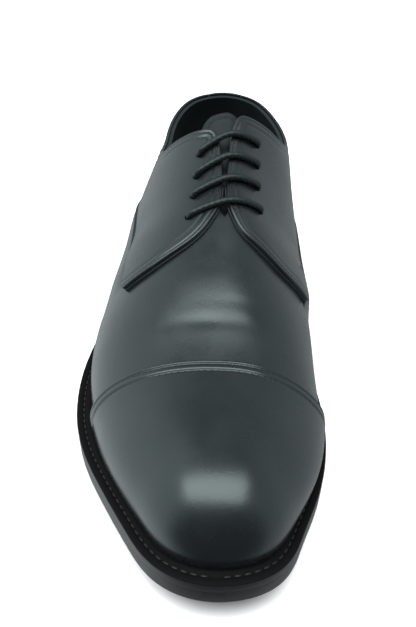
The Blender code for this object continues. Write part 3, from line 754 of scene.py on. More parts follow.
@dataclass(frozen=True)
class Calf(Finish):
    """Box calf: full-grain calfskin, smooth and waxed, with a fine pebble under its gloss."""

    name: str = "box_calf"
    colour: str = "#131617"
    roughness: float = 0.27
    grain: float = 0.6 * MM
    grain_depth: float = 0.032 * MM
    cloud: float = 13 * MM
    coat: float = 0.22
    level: float = 0.5

    def dress(self, tree: bpy.types.NodeTree, shader: bpy.types.Node) -> None:
        """Fine grain that breaks up the highlights, and clouds of wax in the gloss."""
        place = add_node(tree, "ShaderNodeTexCoord").outputs["Object"]
        cells = add_node(tree, "ShaderNodeTexVoronoi", {"feature": "SMOOTH_F1"},
                         {"Vector": place, "Scale": 1 / self.grain, "Smoothness": 0.6})
        folds = add_node(tree, "ShaderNodeTexNoise", {},
                         {"Vector": place, "Scale": 1 / (1.7 * MM), "Detail": 3.0})
        height = add_node(tree, "ShaderNodeMath", {"operation": "ADD"},
                          {0: cells.outputs["Distance"], 1: folds.outputs["Fac"]})
        bump = add_node(tree, "ShaderNodeBump", {},
                        {"Strength": 0.55, "Distance": self.grain_depth,
                         "Height": height.outputs[0]})
        tree.links.new(bump.outputs["Normal"], shader.inputs["Normal"])
        cloud = add_node(tree, "ShaderNodeTexNoise", {},
                         {"Vector": place, "Scale": 1 / self.cloud, "Detail": 3.0})
        rough = add_node(tree, "ShaderNodeMapRange", {},
                         {"Value": cloud.outputs["Fac"], "From Min": 0.3, "From Max": 0.7,
                          "To Min": self.roughness - 0.05, "To Max": self.roughness + 0.06})
        tree.links.new(rough.outputs["Result"], shader.inputs["Roughness"])
        dye = add_node(tree, "ShaderNodeMix", {"data_type": "RGBA"},
                       {0: cloud.outputs["Fac"], 6: linear("#101314"), 7: linear("#16191b")})
        tree.links.new(dye.outputs[2], shader.inputs["Base Color"])
        shader.inputs["Specular Tint"].default_value = linear("#e2fbf8")
        shader.inputs["Specular IOR Level"].default_value = self.level
        shader.inputs["Coat Weight"].default_value = self.coat
        shader.inputs["Coat Roughness"].default_value = 0.27


@dataclass(frozen=True)
class LiningLeather(Finish):
    """Lining leather: dyed sheepskin, dry and matt, with a soft nap."""

    name: str = "lining_leather"
    colour: str = "#171d1e"
    roughness: float = 0.6

    def dress(self, tree: bpy.types.NodeTree, shader: bpy.types.Node) -> None:
        """Fine pores and a mottled dye, so that the inside isn't one flat tone."""
        place = add_node(tree, "ShaderNodeTexCoord").outputs["Object"]
        pores = add_node(tree, "ShaderNodeTexNoise", {},
                         {"Vector": place, "Scale": 1 / (0.9 * MM), "Detail": 3.0})
        bump = add_node(tree, "ShaderNodeBump", {},
                        {"Strength": 0.4, "Distance": 0.05 * MM, "Height": pores.outputs["Fac"]})
        tree.links.new(bump.outputs["Normal"], shader.inputs["Normal"])
        cloud = add_node(tree, "ShaderNodeTexNoise", {}, {"Vector": place, "Scale": 1 / (9 * MM)})
        dye = add_node(tree, "ShaderNodeMix", {"data_type": "RGBA"},
                       {0: cloud.outputs["Fac"], 6: linear("#141a1b"), 7: linear("#1c2324")})
        tree.links.new(dye.outputs[2], shader.inputs["Base Color"])
        shader.inputs["Specular IOR Level"].default_value = 0.25


@dataclass(frozen=True)
class WeltLeather(Finish):
    """Blackened welt: split cowhide with a rough, waxed top that drinks the light."""

    name: str = "blackened_welt"
    colour: str = "#08090a"
    roughness: float = 0.75

    def dress(self, tree: bpy.types.NodeTree, shader: bpy.types.Node) -> None:
        """Coarse fibres, which make the welt's top duller than the upper beside it."""
        place = add_node(tree, "ShaderNodeTexCoord").outputs["Object"]
        fibres = add_node(tree, "ShaderNodeTexNoise", {},
                          {"Vector": place, "Scale": 1 / (0.8 * MM), "Detail": 4.0,
                           "Roughness": 0.7})
        bump = add_node(tree, "ShaderNodeBump", {},
                        {"Strength": 0.9, "Distance": 0.25 * MM, "Height": fibres.outputs["Fac"]})
        tree.links.new(bump.outputs["Normal"], shader.inputs["Normal"])
        ink = add_node(tree, "ShaderNodeMix", {"data_type": "RGBA"},
                       {0: fibres.outputs["Fac"], 6: linear("#020202"), 7: linear("#08090a")})
        tree.links.new(ink.outputs[2], shader.inputs["Base Color"])
        shader.inputs["Specular IOR Level"].default_value = 0.12


@dataclass(frozen=True)
class SoleRubber(Finish):
    """Sole edge: compact black rubber, ground and inked, so it is satin with fine scratches."""

    name: str = "compact_rubber"
    colour: str = "#131517"
    roughness: float = 0.40

    def dress(self, tree: bpy.types.NodeTree, shader: bpy.types.Node) -> None:
        """Grinding marks that run along the edge and streak its shine."""
        place = add_node(tree, "ShaderNodeTexCoord").outputs["Object"]
        flat = add_node(tree, "ShaderNodeMapping", {}, {"Vector": place, "Scale": (1, 1, 14)})
        marks = add_node(tree, "ShaderNodeTexNoise", {},
                         {"Vector": flat.outputs["Vector"], "Scale": 1 / (6 * MM),
                          "Detail": 4.0, "Roughness": 0.6})
        bump = add_node(tree, "ShaderNodeBump", {},
                        {"Strength": 0.25, "Distance": 0.04 * MM, "Height": marks.outputs["Fac"]})
        tree.links.new(bump.outputs["Normal"], shader.inputs["Normal"])
        rough = add_node(tree, "ShaderNodeMapRange", {},
                         {"Value": marks.outputs["Fac"], "From Min": 0.3, "From Max": 0.7,
                          "To Min": self.roughness - 0.06, "To Max": self.roughness + 0.08})
        tree.links.new(rough.outputs["Result"], shader.inputs["Roughness"])


@dataclass(frozen=True)
class Cotton(Finish):
    """Waxed cotton: a tight round braid with a dull shine on its strands."""

    name: str = "waxed_cotton"
    colour: str = "#0e1112"
    roughness: float = 0.5

    def dress(self, tree: bpy.types.NodeTree, shader: bpy.types.Node) -> None:
        """Short fibres on the strands, which soften their shine."""
        place = add_node(tree, "ShaderNodeTexCoord").outputs["Object"]
        fibres = add_node(tree, "ShaderNodeTexNoise", {},
                          {"Vector": place, "Scale": 1 / (0.35 * MM)})
        bump = add_node(tree, "ShaderNodeBump", {},
                        {"Strength": 0.5, "Distance": 0.06 * MM, "Height": fibres.outputs["Fac"]})
        tree.links.new(bump.outputs["Normal"], shader.inputs["Normal"])
        shader.inputs["Specular Tint"].default_value = linear("#e2fbf8")


@dataclass(frozen=True)
class Thread(Finish):
    """Polyester thread: black, twisted, slightly glossy."""

    name: str = "polyester_thread"
    colour: str = "#0d0f10"
    roughness: float = 0.45

    def dress(self, tree: bpy.types.NodeTree, shader: bpy.types.Node) -> None:
        """Twist of the plies, so that each stitch glints unevenly."""
        place = add_node(tree, "ShaderNodeTexCoord").outputs["Object"]
        twist = add_node(tree, "ShaderNodeTexNoise", {}, {"Vector": place, "Scale": 1 / (0.3 * MM)})
        bump = add_node(tree, "ShaderNodeBump", {},
                        {"Strength": 0.4, "Distance": 0.05 * MM, "Height": twist.outputs["Fac"]})
        tree.links.new(bump.outputs["Normal"], shader.inputs["Normal"])


@dataclass(frozen=True)
class Paper(Finish):
    """Studio floor: matt white paper."""

    name: str = "studio_paper"
    colour: str = "#f6f6f6"
    roughness: float = 0.9


class Wardrobe:
    """The finishes of the shoe, each made once."""

    def __init__(self) -> None:
        """Make every finish."""
        self.calf = Calf().make()
        self.dull_calf = Calf("dull_calf", roughness=0.5, coat=0.0, level=0.2).make()
        self.lining = LiningLeather().make()
        self.welt = WeltLeather().make()
        self.rubber = SoleRubber().make()
        self.cotton = Cotton().make()
        self.thread = Thread().make()
        self.hole = Finish("eyelet_shadow", "#060708", 0.8).make()
        # painted highlight: a lighter brown finish for the welt's corner at the toe
        self.welt_corner_highlight = Finish("painted_welt_corner_highlight", "#3a3428", 0.5).make()


def placed_object(name: str, data: bpy.types.ID) -> bpy.types.Object:
    """Put a mesh, light or camera into the scene."""
    obj = bpy.data.objects.new(name, data)
    bpy.context.scene.collection.objects.link(obj)
    return obj


def deselect() -> None:
    """Deselect everything, so that an operator acts on new pieces only."""
    bpy.ops.object.select_all(action="DESELECT")


def only(piece: bpy.types.Object) -> None:
    """Select one piece and make it active."""
    deselect()
    piece.select_set(True)
    bpy.context.view_layer.objects.active = piece


@dataclass
class Piece:
    """What a finished piece is called, is made of and stands for."""

    name: str
    slot: Slot
    nodes: tuple[str, ...] = ()

    def finish(self, obj: bpy.types.Object, smooth: float = 50.0) -> bpy.types.Object:
        """Name a piece, shade it, hang it on the root body and hide the CAD nodes that it stands
        for.

        Args:
            obj: The piece.
            smooth: Edges sharper than this many degrees stay sharp.

        Returns:
            The piece.
        """
        obj.name = self.name
        obj.data.name = self.name
        only(obj)
        bpy.ops.object.shade_smooth_by_angle(angle=math.radians(smooth))
        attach(obj, "root")
        if self.nodes:
            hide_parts(*self.nodes)
        LOG.info("%s: %d faces", self.name, len(obj.data.polygons))
        return obj


class Shell:
    """Closed mesh between pairs of grids of points, welded wherever they meet."""

    WELD = 1e-6

    def __init__(self, name: str) -> None:
        """Start an empty shell.

        Args:
            name: Name of its mesh.
        """
        self.name = name
        self.blocks: list[tuple[np.ndarray, np.ndarray]] = []

    def add(self, outer: np.ndarray, inner: np.ndarray) -> None:
        """Add a block.

        Args:
            outer: Grid of points of the outside.
            inner: Grid of as many points of the inside.
        """
        self.blocks.append((outer, inner))

    def build(self, materials: Sequence[bpy.types.Material]) -> bpy.types.Object:
        """Weld the blocks and close their rims.

        Args:
            materials: The outside's, then the inside's and rim's if they differ.

        Returns:
            The object.
        """
        outer = np.concatenate([o.reshape(-1, 3) for o, _ in self.blocks])
        inner = np.concatenate([i.reshape(-1, 3) for _, i in self.blocks])
        keys = np.round(outer / self.WELD).astype(np.int64)
        _, first, number = np.unique(keys, axis=0, return_index=True, return_inverse=True)
        number = number.ravel()
        quads = []
        start = 0
        for o, _ in self.blocks:
            rows, columns = o.shape[:2]
            index = number[start:start + rows * columns].reshape(rows, columns)
            start += rows * columns
            quads.append(np.stack([index[:-1, :-1], index[1:, :-1], index[1:, 1:],
                                   index[:-1, 1:]], -1).reshape(-1, 4))
        quads = np.concatenate(quads)
        faces = []
        for quad in quads.tolist():
            ring = [v for k, v in enumerate(quad) if v != quad[k - 1]]
            if len(ring) > 2 and len(set(ring)) == len(ring):
                faces.append(ring)
        below = len(first)
        edges: dict[tuple[int, int], list[tuple[int, int]]] = {}
        for ring in faces:
            for k, v in enumerate(ring):
                edge = (ring[k - 1], v)
                edges.setdefault((min(edge), max(edge)), []).append(edge)
        walls = [(a, b, b + below, a + below)
                 for uses in edges.values() if len(uses) == 1 for a, b in uses]
        under = [[v + below for v in ring] for ring in faces]
        mesh = bpy.data.meshes.new(self.name)
        points = np.concatenate([outer[first], inner[first]])
        mesh.from_pydata(points.tolist(), [], faces + walls + under)
        for finish in materials:
            mesh.materials.append(finish)
        kinds = np.zeros(len(mesh.polygons), dtype=np.int32)
        kinds[len(faces):] = len(materials) - 1
        mesh.polygons.foreach_set("material_index", kinds)
        body = bmesh.new()
        body.from_mesh(mesh)
        loose = [v for v in body.verts if not v.link_faces]
        bmesh.ops.delete(body, geom=loose, context="VERTS")
        bmesh.ops.recalc_face_normals(body, faces=body.faces)
        body.to_mesh(mesh)
        body.free()
        return placed_object(self.name, mesh)


def rolled(distance: np.ndarray, radius: float) -> np.ndarray:
    """Height share of a folded edge at distances from it: round up to the radius, then full."""
    near = np.clip(distance / radius, 0, 1)
    return np.sqrt(1 - (1 - near) ** 2)


def furrow(distance: np.ndarray, row: float, width: float = 0.62 * MM) -> np.ndarray:
    """Depth share of the furrow that a row of stitches pulls, at distances from an edge."""
    return np.exp(-((distance - row) / width) ** 2)


@dataclass
class Seams:
    """Stitches, each a small thread bridge between two needle holes."""

    skin: Skin
    length: float = 1.75 * MM
    pitch: float = 2.45 * MM
    thread: float = 0.52 * MM
    sink: float = 0.10 * MM
    flatness: float = 0.8

    def bridge(self) -> tuple[np.ndarray, list[list[int]]]:
        """Model one stitch, as a flattened sphere with few faces.

        Returns:
            Its points, with x along the seam and z outwards, and its faces.
        """
        deselect()
        bpy.ops.mesh.primitive_uv_sphere_add(segments=6, ring_count=4, radius=0.5)
        ball = bpy.context.object
        bpy.ops.object.mode_set(mode="EDIT")
        bpy.ops.mesh.select_all(action="SELECT")
        bpy.ops.transform.rotate(value=math.pi / 2, orient_axis="Y", center_override=(0, 0, 0))
        bpy.ops.transform.resize(value=(self.length, self.thread, self.flatness * self.thread))
        bpy.ops.object.mode_set(mode="OBJECT")
        points = np.empty(len(ball.data.vertices) * 3)
        ball.data.vertices.foreach_get("co", points)
        faces = [list(face.vertices) for face in ball.data.polygons]
        bpy.data.objects.remove(ball, do_unlink=True)
        return points.reshape(-1, 3), faces

    def row(self, seed: np.ndarray, line: np.ndarray, marks: np.ndarray, outs: np.ndarray,
            reach: float, sink: float) -> np.ndarray:
        """Lay one row of stitches.

        Args:
            seed: Points of one stitch.
            line: Points that the row follows.
            marks: Distance of each stitch along the line.
            outs: Direction out of the leather at each stitch.
            reach: How far to either side the line's direction is taken.
            sink: How deep the stitches lie.

        Returns:
            The points of every stitch.
        """
        run = run_along(line)
        ahead = unit(interpolated(marks + reach, run, line)
                     - interpolated(marks - reach, run, line))
        out = unit(outs - ahead * (outs * ahead).sum(1, keepdims=True))
        axes = np.stack([ahead, np.cross(out, ahead), out], 1)
        return (interpolated(marks, run, line) - out * sink)[:, None] + seed[None] @ axes

    def joined(self, name: str, rows: list[np.ndarray], faces: list[list[int]], slot: Slot,
               thread: bpy.types.Material) -> bpy.types.Object:
        """Make one piece of rows of stitches.

        Args:
            name: Its name.
            rows: Points of the stitches of each row.
            faces: Faces of one stitch.
            slot: Slot of the piece.
            thread: Its material.

        Returns:
            The piece.
        """
        points = np.concatenate(rows)
        count, size = points.shape[:2]
        every = [[v + k * size for v in face] for k in range(count) for face in faces]
        mesh = bpy.data.meshes.new(name)
        mesh.from_pydata(points.reshape(-1, 3).tolist(), [], every)
        mesh.materials.append(thread)
        return Piece(name, slot).finish(placed_object(name, mesh), 80)

    def sew(self, name: str, rows: Iterable[tuple[np.ndarray, np.ndarray]], slot: Slot,
            thread: bpy.types.Material) -> bpy.types.Object:
        """Set stitches along rows.

        Args:
            name: Name of the piece that holds them.
            rows: For each row its path and the lift of the leather along it.
            slot: Slot of the piece.
            thread: Its material.

        Returns:
            The piece.
        """
        seed, faces = self.bridge()
        laid = []
        for path, lift in rows:
            line = self.skin.at(path, lift)
            run = run_along(line)
            marks = np.arange(0.5 * self.pitch, run[-1], self.pitch)
            outs = self.skin.out(interpolated(marks, run, path))
            laid.append(self.row(seed, line, marks, outs, self.pitch / 4, self.sink))
        return self.joined(name, laid, faces, slot, thread)


@dataclass
class Pattern:
    """Pattern pieces of the upper, as tables of spots in (around, up)."""

    skin: Skin
    throat: float = 0.548
    throat_turn: float = 0.530
    cap_seam: float = 0.757
    cap_bow: float = 0.5 * MM
    side_seam: float = 0.333
    back_height: float = 0.0785
    strip_width: float = 19 * MM
    spacing: float = 0.8 * MM
    smoothing: int = 6
    # shares around between which the cap's seam is looked for
    cap_range: tuple[float, float] = (0.64, 0.86)
    # top edge, in (around, share of the back height)
    top_edge: dict = field(default_factory=lambda: {
        Side.OUTER: ((0.000, 1.000), (0.060, 0.995), (0.130, 0.980), (0.200, 0.965),
                     (0.280, 0.955), (0.340, 0.968), (0.375, 1.002), (0.398, 1.061),
                     (0.409, 1.119), (0.415, 1.171)),
        Side.INNER: ((0.000, 1.000), (0.060, 0.990), (0.120, 0.970), (0.190, 0.950),
                     (0.250, 0.940), (0.300, 0.955), (0.328, 1.014), (0.347, 1.084),
                     (0.362, 1.159), (0.375, 1.212)),
    })
    # facing from its rounded top corner to the tip of the tab
    front_edge: dict = field(default_factory=lambda: {
        Side.OUTER: ((0.4215, 0.934), (0.436, 0.962), (0.460, 0.977), (0.490, 0.984),
                     (0.515, 0.985), (0.532, 0.978), (0.548, 0.955), (0.564, 0.919),
                     (0.583, 0.846), (0.595, 0.758), (0.603, 0.680), (0.608, 0.600),
                     (0.612, 0.505)),
        Side.INNER: ((0.398, 0.935), (0.416, 0.970), (0.440, 0.986), (0.480, 0.995),
                     (0.510, 0.997), (0.529, 0.990), (0.545, 0.970), (0.562, 0.935),
                     (0.575, 0.860), (0.582, 0.765), (0.587, 0.680), (0.588, 0.590),
                     (0.586, 0.490), (0.584, 0.395)),
    })
    # upper edge of the wing, from the welt to the tip of the tab and on to the toe
    wing_edge: dict = field(default_factory=lambda: {
        Side.OUTER: ((0.000, 0.000), (0.333, 0.000), (0.338, 0.110), (0.352, 0.215),
                     (0.380, 0.310), (0.420, 0.376), (0.475, 0.443), (0.541, 0.492),
                     (0.612, 0.503), (1.000, 0.480)),
        Side.INNER: ((0.000, 0.000), (0.333, 0.000), (0.338, 0.100), (0.352, 0.195),
                     (0.380, 0.275), (0.420, 0.325), (0.500, 0.372), (0.584, 0.392),
                     (0.700, 0.420), (1.000, 0.480)),
    })
    eyelets: dict = field(default_factory=lambda: {
        Side.OUTER: ((0.452, 0.879), (0.483, 0.866), (0.514, 0.858), (0.546, 0.842)),
        Side.INNER: ((0.412, 0.815), (0.443, 0.815), (0.477, 0.815), (0.515, 0.805)),
    })

    def spots(self, side: Side, table: Sequence[Sequence[float]]) -> np.ndarray:
        """Spots (around, across) of a table in (around, up)."""
        table = np.asarray(table, float)
        return np.stack([table[:, 0], side.value * (1 - table[:, 1])], -1)

    def strip_share(self) -> float:
        """Share around of the side of the back strip."""
        around = np.linspace(0, 1, 200)
        total = sum(run_along(self.skin.at(spots_at(around, side.value)))[-1] for side in Side)
        return self.strip_width / total

    def top_line(self, side: Side) -> np.ndarray:
        """Path of the top edge from the back to just before the corner."""
        around = np.linspace(0, self.top_edge[side][-1][0], 80)
        height = read_table(self.top_edge[side], around) * self.back_height
        return spots_at(around, self.skin.up_at_height(side, around, height))

    def edge(self, side: Side) -> np.ndarray:
        """Draw the whole free edge of a quarter.

        Args:
            side: Side of the foot.

        Returns:
            The path, from the back to the tip of the tab.
        """
        front = path_through(self.spots(side, self.front_edge[side]), 160)
        joined = np.concatenate([self.top_line(side)[:-4], front])
        path = self.skin.even(joined, self.spacing)
        for _ in range(self.smoothing):
            path[1:-1] = 0.25 * path[:-2] + 0.5 * path[1:-1] + 0.25 * path[2:]
        return self.skin.even(path, self.spacing)

    def cap_line(self, count: int) -> np.ndarray:
        """Draw the cap's edge over the foot, nearly straight and bowed to the heel.

        Args:
            count: Points wanted.

        Returns:
            The path, from the outer to the inner side.
        """
        across = np.linspace(-1, 1, count)
        around = np.linspace(*self.cap_range, 160)
        grid = self.skin.at(spots_at(around[:, None], across))
        ridge = self.skin.at(np.array([[self.cap_seam, 0.0]]))[0]
        middle = grid[len(around) // 2, :, 0]
        aside = (grid[..., 0] - ridge[0]) / (0.5 * (middle[-1] - middle[0]))
        short = ridge[1] - self.cap_bow * aside ** 2 - grid[..., 1]
        return spots_at([np.interp(0, column, around) for column in short.T], across)

    def wing(self, side: Side, around: np.ndarray) -> np.ndarray:
        """Share up of the wing's edge at shares around."""
        return read_table(self.wing_edge[side], around)

    def wing_path(self, side: Side, start: float, end: float) -> np.ndarray:
        """Path along the wing's edge between two shares around."""
        around = np.linspace(start, end, 400)
        path = spots_at(around, side.value * (1 - self.wing(side, around)))
        return self.skin.even(path, self.spacing)


@dataclass
class Upper:
    """Vamp with its wings, and the lining that carries on from it inside."""

    skin: Skin
    pattern: Pattern
    wall: float = 1.8 * MM
    wing_lift: float = 2.7 * MM
    wing_reach: float = 0.6
    set_back: float = 0.9 * MM
    fold: float = 0.9 * MM
    fold_drop: float = 0.8 * MM
    furrow_depth: float = 0.25 * MM
    stitch_row: float = 1.7 * MM
    # about how long a rib is, and the least share of it below the wing's edge
    rib: float = 0.1
    least: float = 0.02
    # around, share of the wing's lift along its edge: none at the welt and under the tab
    laps: tuple = ((0.0, 0.0), (0.333, 0.0), (0.350, 1.0), (0.560, 1.0), (0.600, 0.0),
                   (1.0, 0.0))
    # around, across, half length across, half width around, depth
    troughs: tuple = ((0.690, -0.05, 0.22, 0.010, 0.2 * MM),
                      (0.662, 0.12, 0.20, 0.009, 0.12 * MM))

    def stations(self) -> np.ndarray:
        """Shares around of the cross rows, closer where the wing's edge is steep."""
        pattern = self.pattern
        marks = [0.0, pattern.side_seam, 0.345, 0.60, 1.0]
        counts = [100, 14, 90, 110]
        parts = [np.linspace(a, b, n, endpoint=False)
                 for a, b, n in zip(marks[:-1], marks[1:], counts)]
        fixed = [pattern.throat_turn, pattern.throat]
        return np.unique(np.concatenate(parts + [fixed, [1.0]]))

    def rim(self, side: Side, around: np.ndarray) -> np.ndarray:
        """Find where the wall ends, just short of the quarter's edge.

        Args:
            side: Side of the foot.
            around: Shares around.

        Returns:
            The share up at each of them.
        """
        pattern = self.pattern
        inside = self.skin.beside(pattern.edge(side), self.set_back * side.value)
        order = np.argsort(inside[:, 0])
        open_up = 1 - np.abs(np.interp(around, inside[order, 0], inside[order, 1]))
        closing = np.clip((around - pattern.throat_turn)
                          / (pattern.throat - pattern.throat_turn), 0, 1)
        return open_up + (1 - open_up) * closing

    def creases(self, spots: np.ndarray) -> np.ndarray:
        """Lift of the vamp's soft troughs behind the cap, which is never above zero."""
        total = np.zeros(spots.shape[:-1])
        for around, across, half, width, depth in self.troughs:
            total -= depth * np.exp(-((spots[..., 0] - around) / width) ** 2
                                    - ((spots[..., 1] - across) / half) ** 2)
        return total

    def build(self, wardrobe: Wardrobe) -> bpy.types.Object:
        """Build the wall.

        Args:
            wardrobe: The finishes.

        Returns:
            The piece.
        """
        around = self.stations()
        shell = Shell("upper")
        lap = read_table(self.laps, around)[:, None]
        rise = 1 - graded(0.045, 0.0004, 0.0022, True, False, 0.002)[None, ::-1]
        step = np.ones((1, 2))
        high = np.linspace(0, 1, 36)[None, 1:]
        share = np.concatenate([rise, step, high], 1)
        ramp = eased((share - 1 + self.wing_reach) / self.wing_reach)
        count = rise.shape[1]
        for side in Side:
            seam = self.pattern.wing(side, around)[:, None]
            up = np.concatenate([seam * rise, seam * step, seam + (1 - seam) * high], 1)
            up = np.minimum(up, self.rim(side, around)[:, None])
            spots = spots_at(around[:, None], side.value * (1 - up))
            from_edge = (1 - share) * np.maximum(seam, self.least) * self.rib
            turned = self.fold_drop * (1 - rolled(from_edge, self.fold))
            sewn = self.furrow_depth * furrow(from_edge, self.stitch_row)
            wing = lap * ramp * (self.wing_lift - turned - sewn)
            lift = self.creases(spots)
            lift[:, :count] += wing[:, :count]
            lift[:, count] += 0.3 * wing[:, count - 1]
            shell.add(self.skin.at(spots, lift), self.skin.at(spots, -self.wall))
        obj = shell.build((wardrobe.calf, wardrobe.lining))
        return Piece("vamp_and_wings", Slot.CALF, ("upper",)).finish(obj, 60)


@dataclass
class Quarter:
    """One quarter with its facing and tab, its edge folded and sewn twice."""

    skin: Skin
    pattern: Pattern
    side: Side
    base: float = 0.3 * MM
    thickness: float = 1.6 * MM
    tab_rise: float = 0.7 * MM
    fold: float = 1.1 * MM
    fold_height: float = 0.9 * MM
    rows: tuple[float, float] = (1.7 * MM, 4.2 * MM)
    furrow_depth: float = 0.24 * MM
    hole: float = 1.9 * MM
    dimple: float = 0.35 * MM
    dimple_width: float = 1.6 * MM
    # share around from which the tab rises, and over which it does
    tab_start: float = 0.49
    tab_ramp: float = 0.06
    clearance: float = 0.001
    lap: float = 1.2 * MM
    count: int = 380
    # of the tab's lining: distance inside the edge, and lift there
    lining: tuple = ((-0.6 * MM, 0.55 * MM), (-0.45 * MM, 0.95 * MM), (0.0, 1.0 * MM),
                     (3.0 * MM, 1.0 * MM), (7.0 * MM, 1.0 * MM))

    def node(self) -> str:
        """Name of the CAD node."""
        return "quarter_lateral" if self.side is Side.OUTER else "quarter_medial"

    def title(self) -> str:
        """Name of the piece."""
        return self.side.name.lower() + "_quarter"

    def front_share(self, around: np.ndarray) -> np.ndarray:
        """Share of the tab's extra rise at shares around."""
        return eased((around - self.tab_start) / self.tab_ramp)

    def bottom(self) -> np.ndarray:
        """Draw the lower edge, along the welt and then under the wing to the tab.

        Returns:
            The path.
        """
        pattern = self.pattern
        start = pattern.strip_share() + self.clearance
        welt = spots_at(np.linspace(start, pattern.side_seam, 100), FOOT * self.side.value)
        lap = pattern.wing_path(self.side, pattern.side_seam + 2 * self.clearance,
                                self.tip()[0] - 4 * self.clearance)
        lap = self.skin.beside(lap, self.lap * self.side.value)
        lap[:, 1] = np.clip(lap[:, 1], -FOOT, FOOT)
        joined = np.concatenate([welt[:-1], lap[2:], [self.tip()]])
        return self.skin.even(joined, pattern.spacing)

    def tip(self) -> np.ndarray:
        """Spot of the tab's tip."""
        return self.pattern.spots(self.side, self.pattern.front_edge[self.side])[-1]

    def outer_lift(self, spots: np.ndarray, places: np.ndarray, edge: np.ndarray) -> np.ndarray:
        """Shape the outside: fold, furrows of the seams, dimples at the eyelets.

        Args:
            spots: Grid of (around, across).
            places: Where they are in space.
            edge: Points of the folded edge.

        Returns:
            The lift at each spot.
        """
        away = distance_to(places, edge)
        full = self.thickness + self.tab_rise * self.front_share(spots[..., 0])
        lift = self.base + full - (full - self.fold_height) * (1 - rolled(away, self.fold))
        for row in self.rows:
            lift = lift - self.furrow_depth * furrow(away, row)
        for spot in self.pattern.spots(self.side, self.pattern.eyelets[self.side]):
            near = np.linalg.norm(places - self.skin.at(spot[None])[0], axis=-1)
            lift = lift - self.dimple * np.exp(-(near / self.dimple_width) ** 2)
        return lift

    def drills(self) -> bpy.types.Object:
        """Cutter for the eyelets, each square to the leather.

        Returns:
            The cutter, with all its cylinders in one mesh.
        """
        deselect()
        made = []
        for spot in self.pattern.spots(self.side, self.pattern.eyelets[self.side]):
            middle = self.skin.at(spot[None])[0]
            out = Vector(self.skin.out(spot[None])[0])
            bpy.ops.mesh.primitive_cylinder_add(
                vertices=24, radius=self.hole, depth=16 * MM, location=middle,
                rotation=out.to_track_quat("Z", "Y").to_euler())
            made.append(bpy.context.object)
        for obj in made:
            obj.select_set(True)
        bpy.ops.object.join()
        return bpy.context.object

    def drill(self, obj: bpy.types.Object, cutter: bpy.types.Object) -> None:
        """Cut the eyelets through a piece."""
        only(obj)
        cut = obj.modifiers.new("eyelets", "BOOLEAN")
        cut.object = cutter
        cut.solver = "EXACT"
        bpy.ops.object.modifier_apply(modifier=cut.name)

    def build(self, wardrobe: Wardrobe, upper: bpy.types.Object) -> bpy.types.Object:
        """Build the quarter and punch its eyelets through it and the upper.

        Args:
            wardrobe: The finishes.
            upper: The wall behind it.

        Returns:
            The piece.
        """
        pattern = self.pattern
        path = pattern.edge(self.side)
        start = pattern.strip_share() + self.clearance
        path = path[path[:, 0] >= start]
        path = np.concatenate([[[start, np.interp(start, *path[:40].T)]], path])
        edge = self.skin.at(path)
        share = np.linspace(0, 1, self.count)
        run = run_along(edge)
        top = interpolated(share * run[-1], run, path)
        bottom = self.bottom()
        run = run_along(self.skin.at(bottom))
        low = interpolated(share * run[-1], run, bottom)
        rise = graded(0.070, 0.0003, 0.0016, False, True, 0.0055)[None, :, None]
        spots = low[:, None] * (1 - rise) + top[:, None] * rise
        places = self.skin.at(spots)
        lift = self.outer_lift(spots, places, edge)
        under = distance_to(places, self.skin.at(bottom[bottom[:, 0] > pattern.side_seam]))
        front = self.front_share(spots[..., 0])
        lift = lift - 0.5 * MM * (1 - rolled(under, 2.5 * MM)) * (1 - front)
        inner = self.base + self.tab_rise * front
        shell = Shell(self.title())
        shell.add(self.skin.at(spots, lift), self.skin.at(spots, inner))
        obj = shell.build((wardrobe.calf,))
        cutter = self.drills()
        self.drill(obj, cutter)
        self.drill(upper, cutter)
        bpy.data.objects.remove(cutter, do_unlink=True)
        return Piece(self.title(), Slot.CALF, (self.node(),)).finish(obj, 60)

    def underlay(self, wardrobe: Wardrobe) -> bpy.types.Object:
        """Build the lining of the tab, a dark layer under its folded edge.

        Args:
            wardrobe: The finishes.

        Returns:
            The piece.
        """
        path = self.pattern.edge(self.side)
        path = path[path[:, 0] > 0.505]
        spots = np.stack([self.skin.beside(path, inside * self.side.value)
                          for inside, _ in self.lining], 1)
        shell = Shell(self.title() + "_underlay")
        shell.add(self.skin.at(spots, [lift for _, lift in self.lining]),
                  self.skin.at(spots, 0.12 * MM))
        obj = shell.build((wardrobe.lining,))
        return Piece(self.title() + "_underlay", Slot.LINING).finish(obj)

    def seam_rows(self) -> list[tuple[np.ndarray, np.ndarray]]:
        """Draw the two rows of stitches along the edge.

        Returns:
            For each row its path and the lift along it.
        """
        found = []
        for row in self.rows:
            path = self.pattern.edge(self.side)
            path = path[path[:, 0] > self.pattern.strip_share() + 0.004]
            line = self.skin.beside(path, row * self.side.value)
            if row == max(self.rows):
                line = line[line[:, 0] > 0.35]
            full = self.thickness + self.tab_rise * self.front_share(line[:, 0])
            found.append((line, self.base + full - self.furrow_depth))
        return found


@dataclass
class Tack:
    """Bar tack near the tip of a tab: a narrow loop of close stitches."""

    skin: Skin
    spot: tuple[float, float]
    length: float = 7.5 * MM
    width: float = 2.6 * MM
    lift: float = 2.55 * MM

    def row(self) -> tuple[np.ndarray, np.ndarray]:
        """Draw the loop, open at its foot.

        Returns:
            Its path and the lift along it.
        """
        start = np.array([self.spot])
        back = unit(self.skin.at(start - (0.01, 0)) - self.skin.at(start))
        aside = np.cross(self.skin.out(start), back)
        corners = [0 * back, self.length * back, self.length * back + self.width * aside,
                   self.width * aside]
        path = np.concatenate([self.skin.moved(start, corner) for corner in corners])
        path = self.skin.even(path, 0.4 * MM)
        return path, np.full(len(path), self.lift)


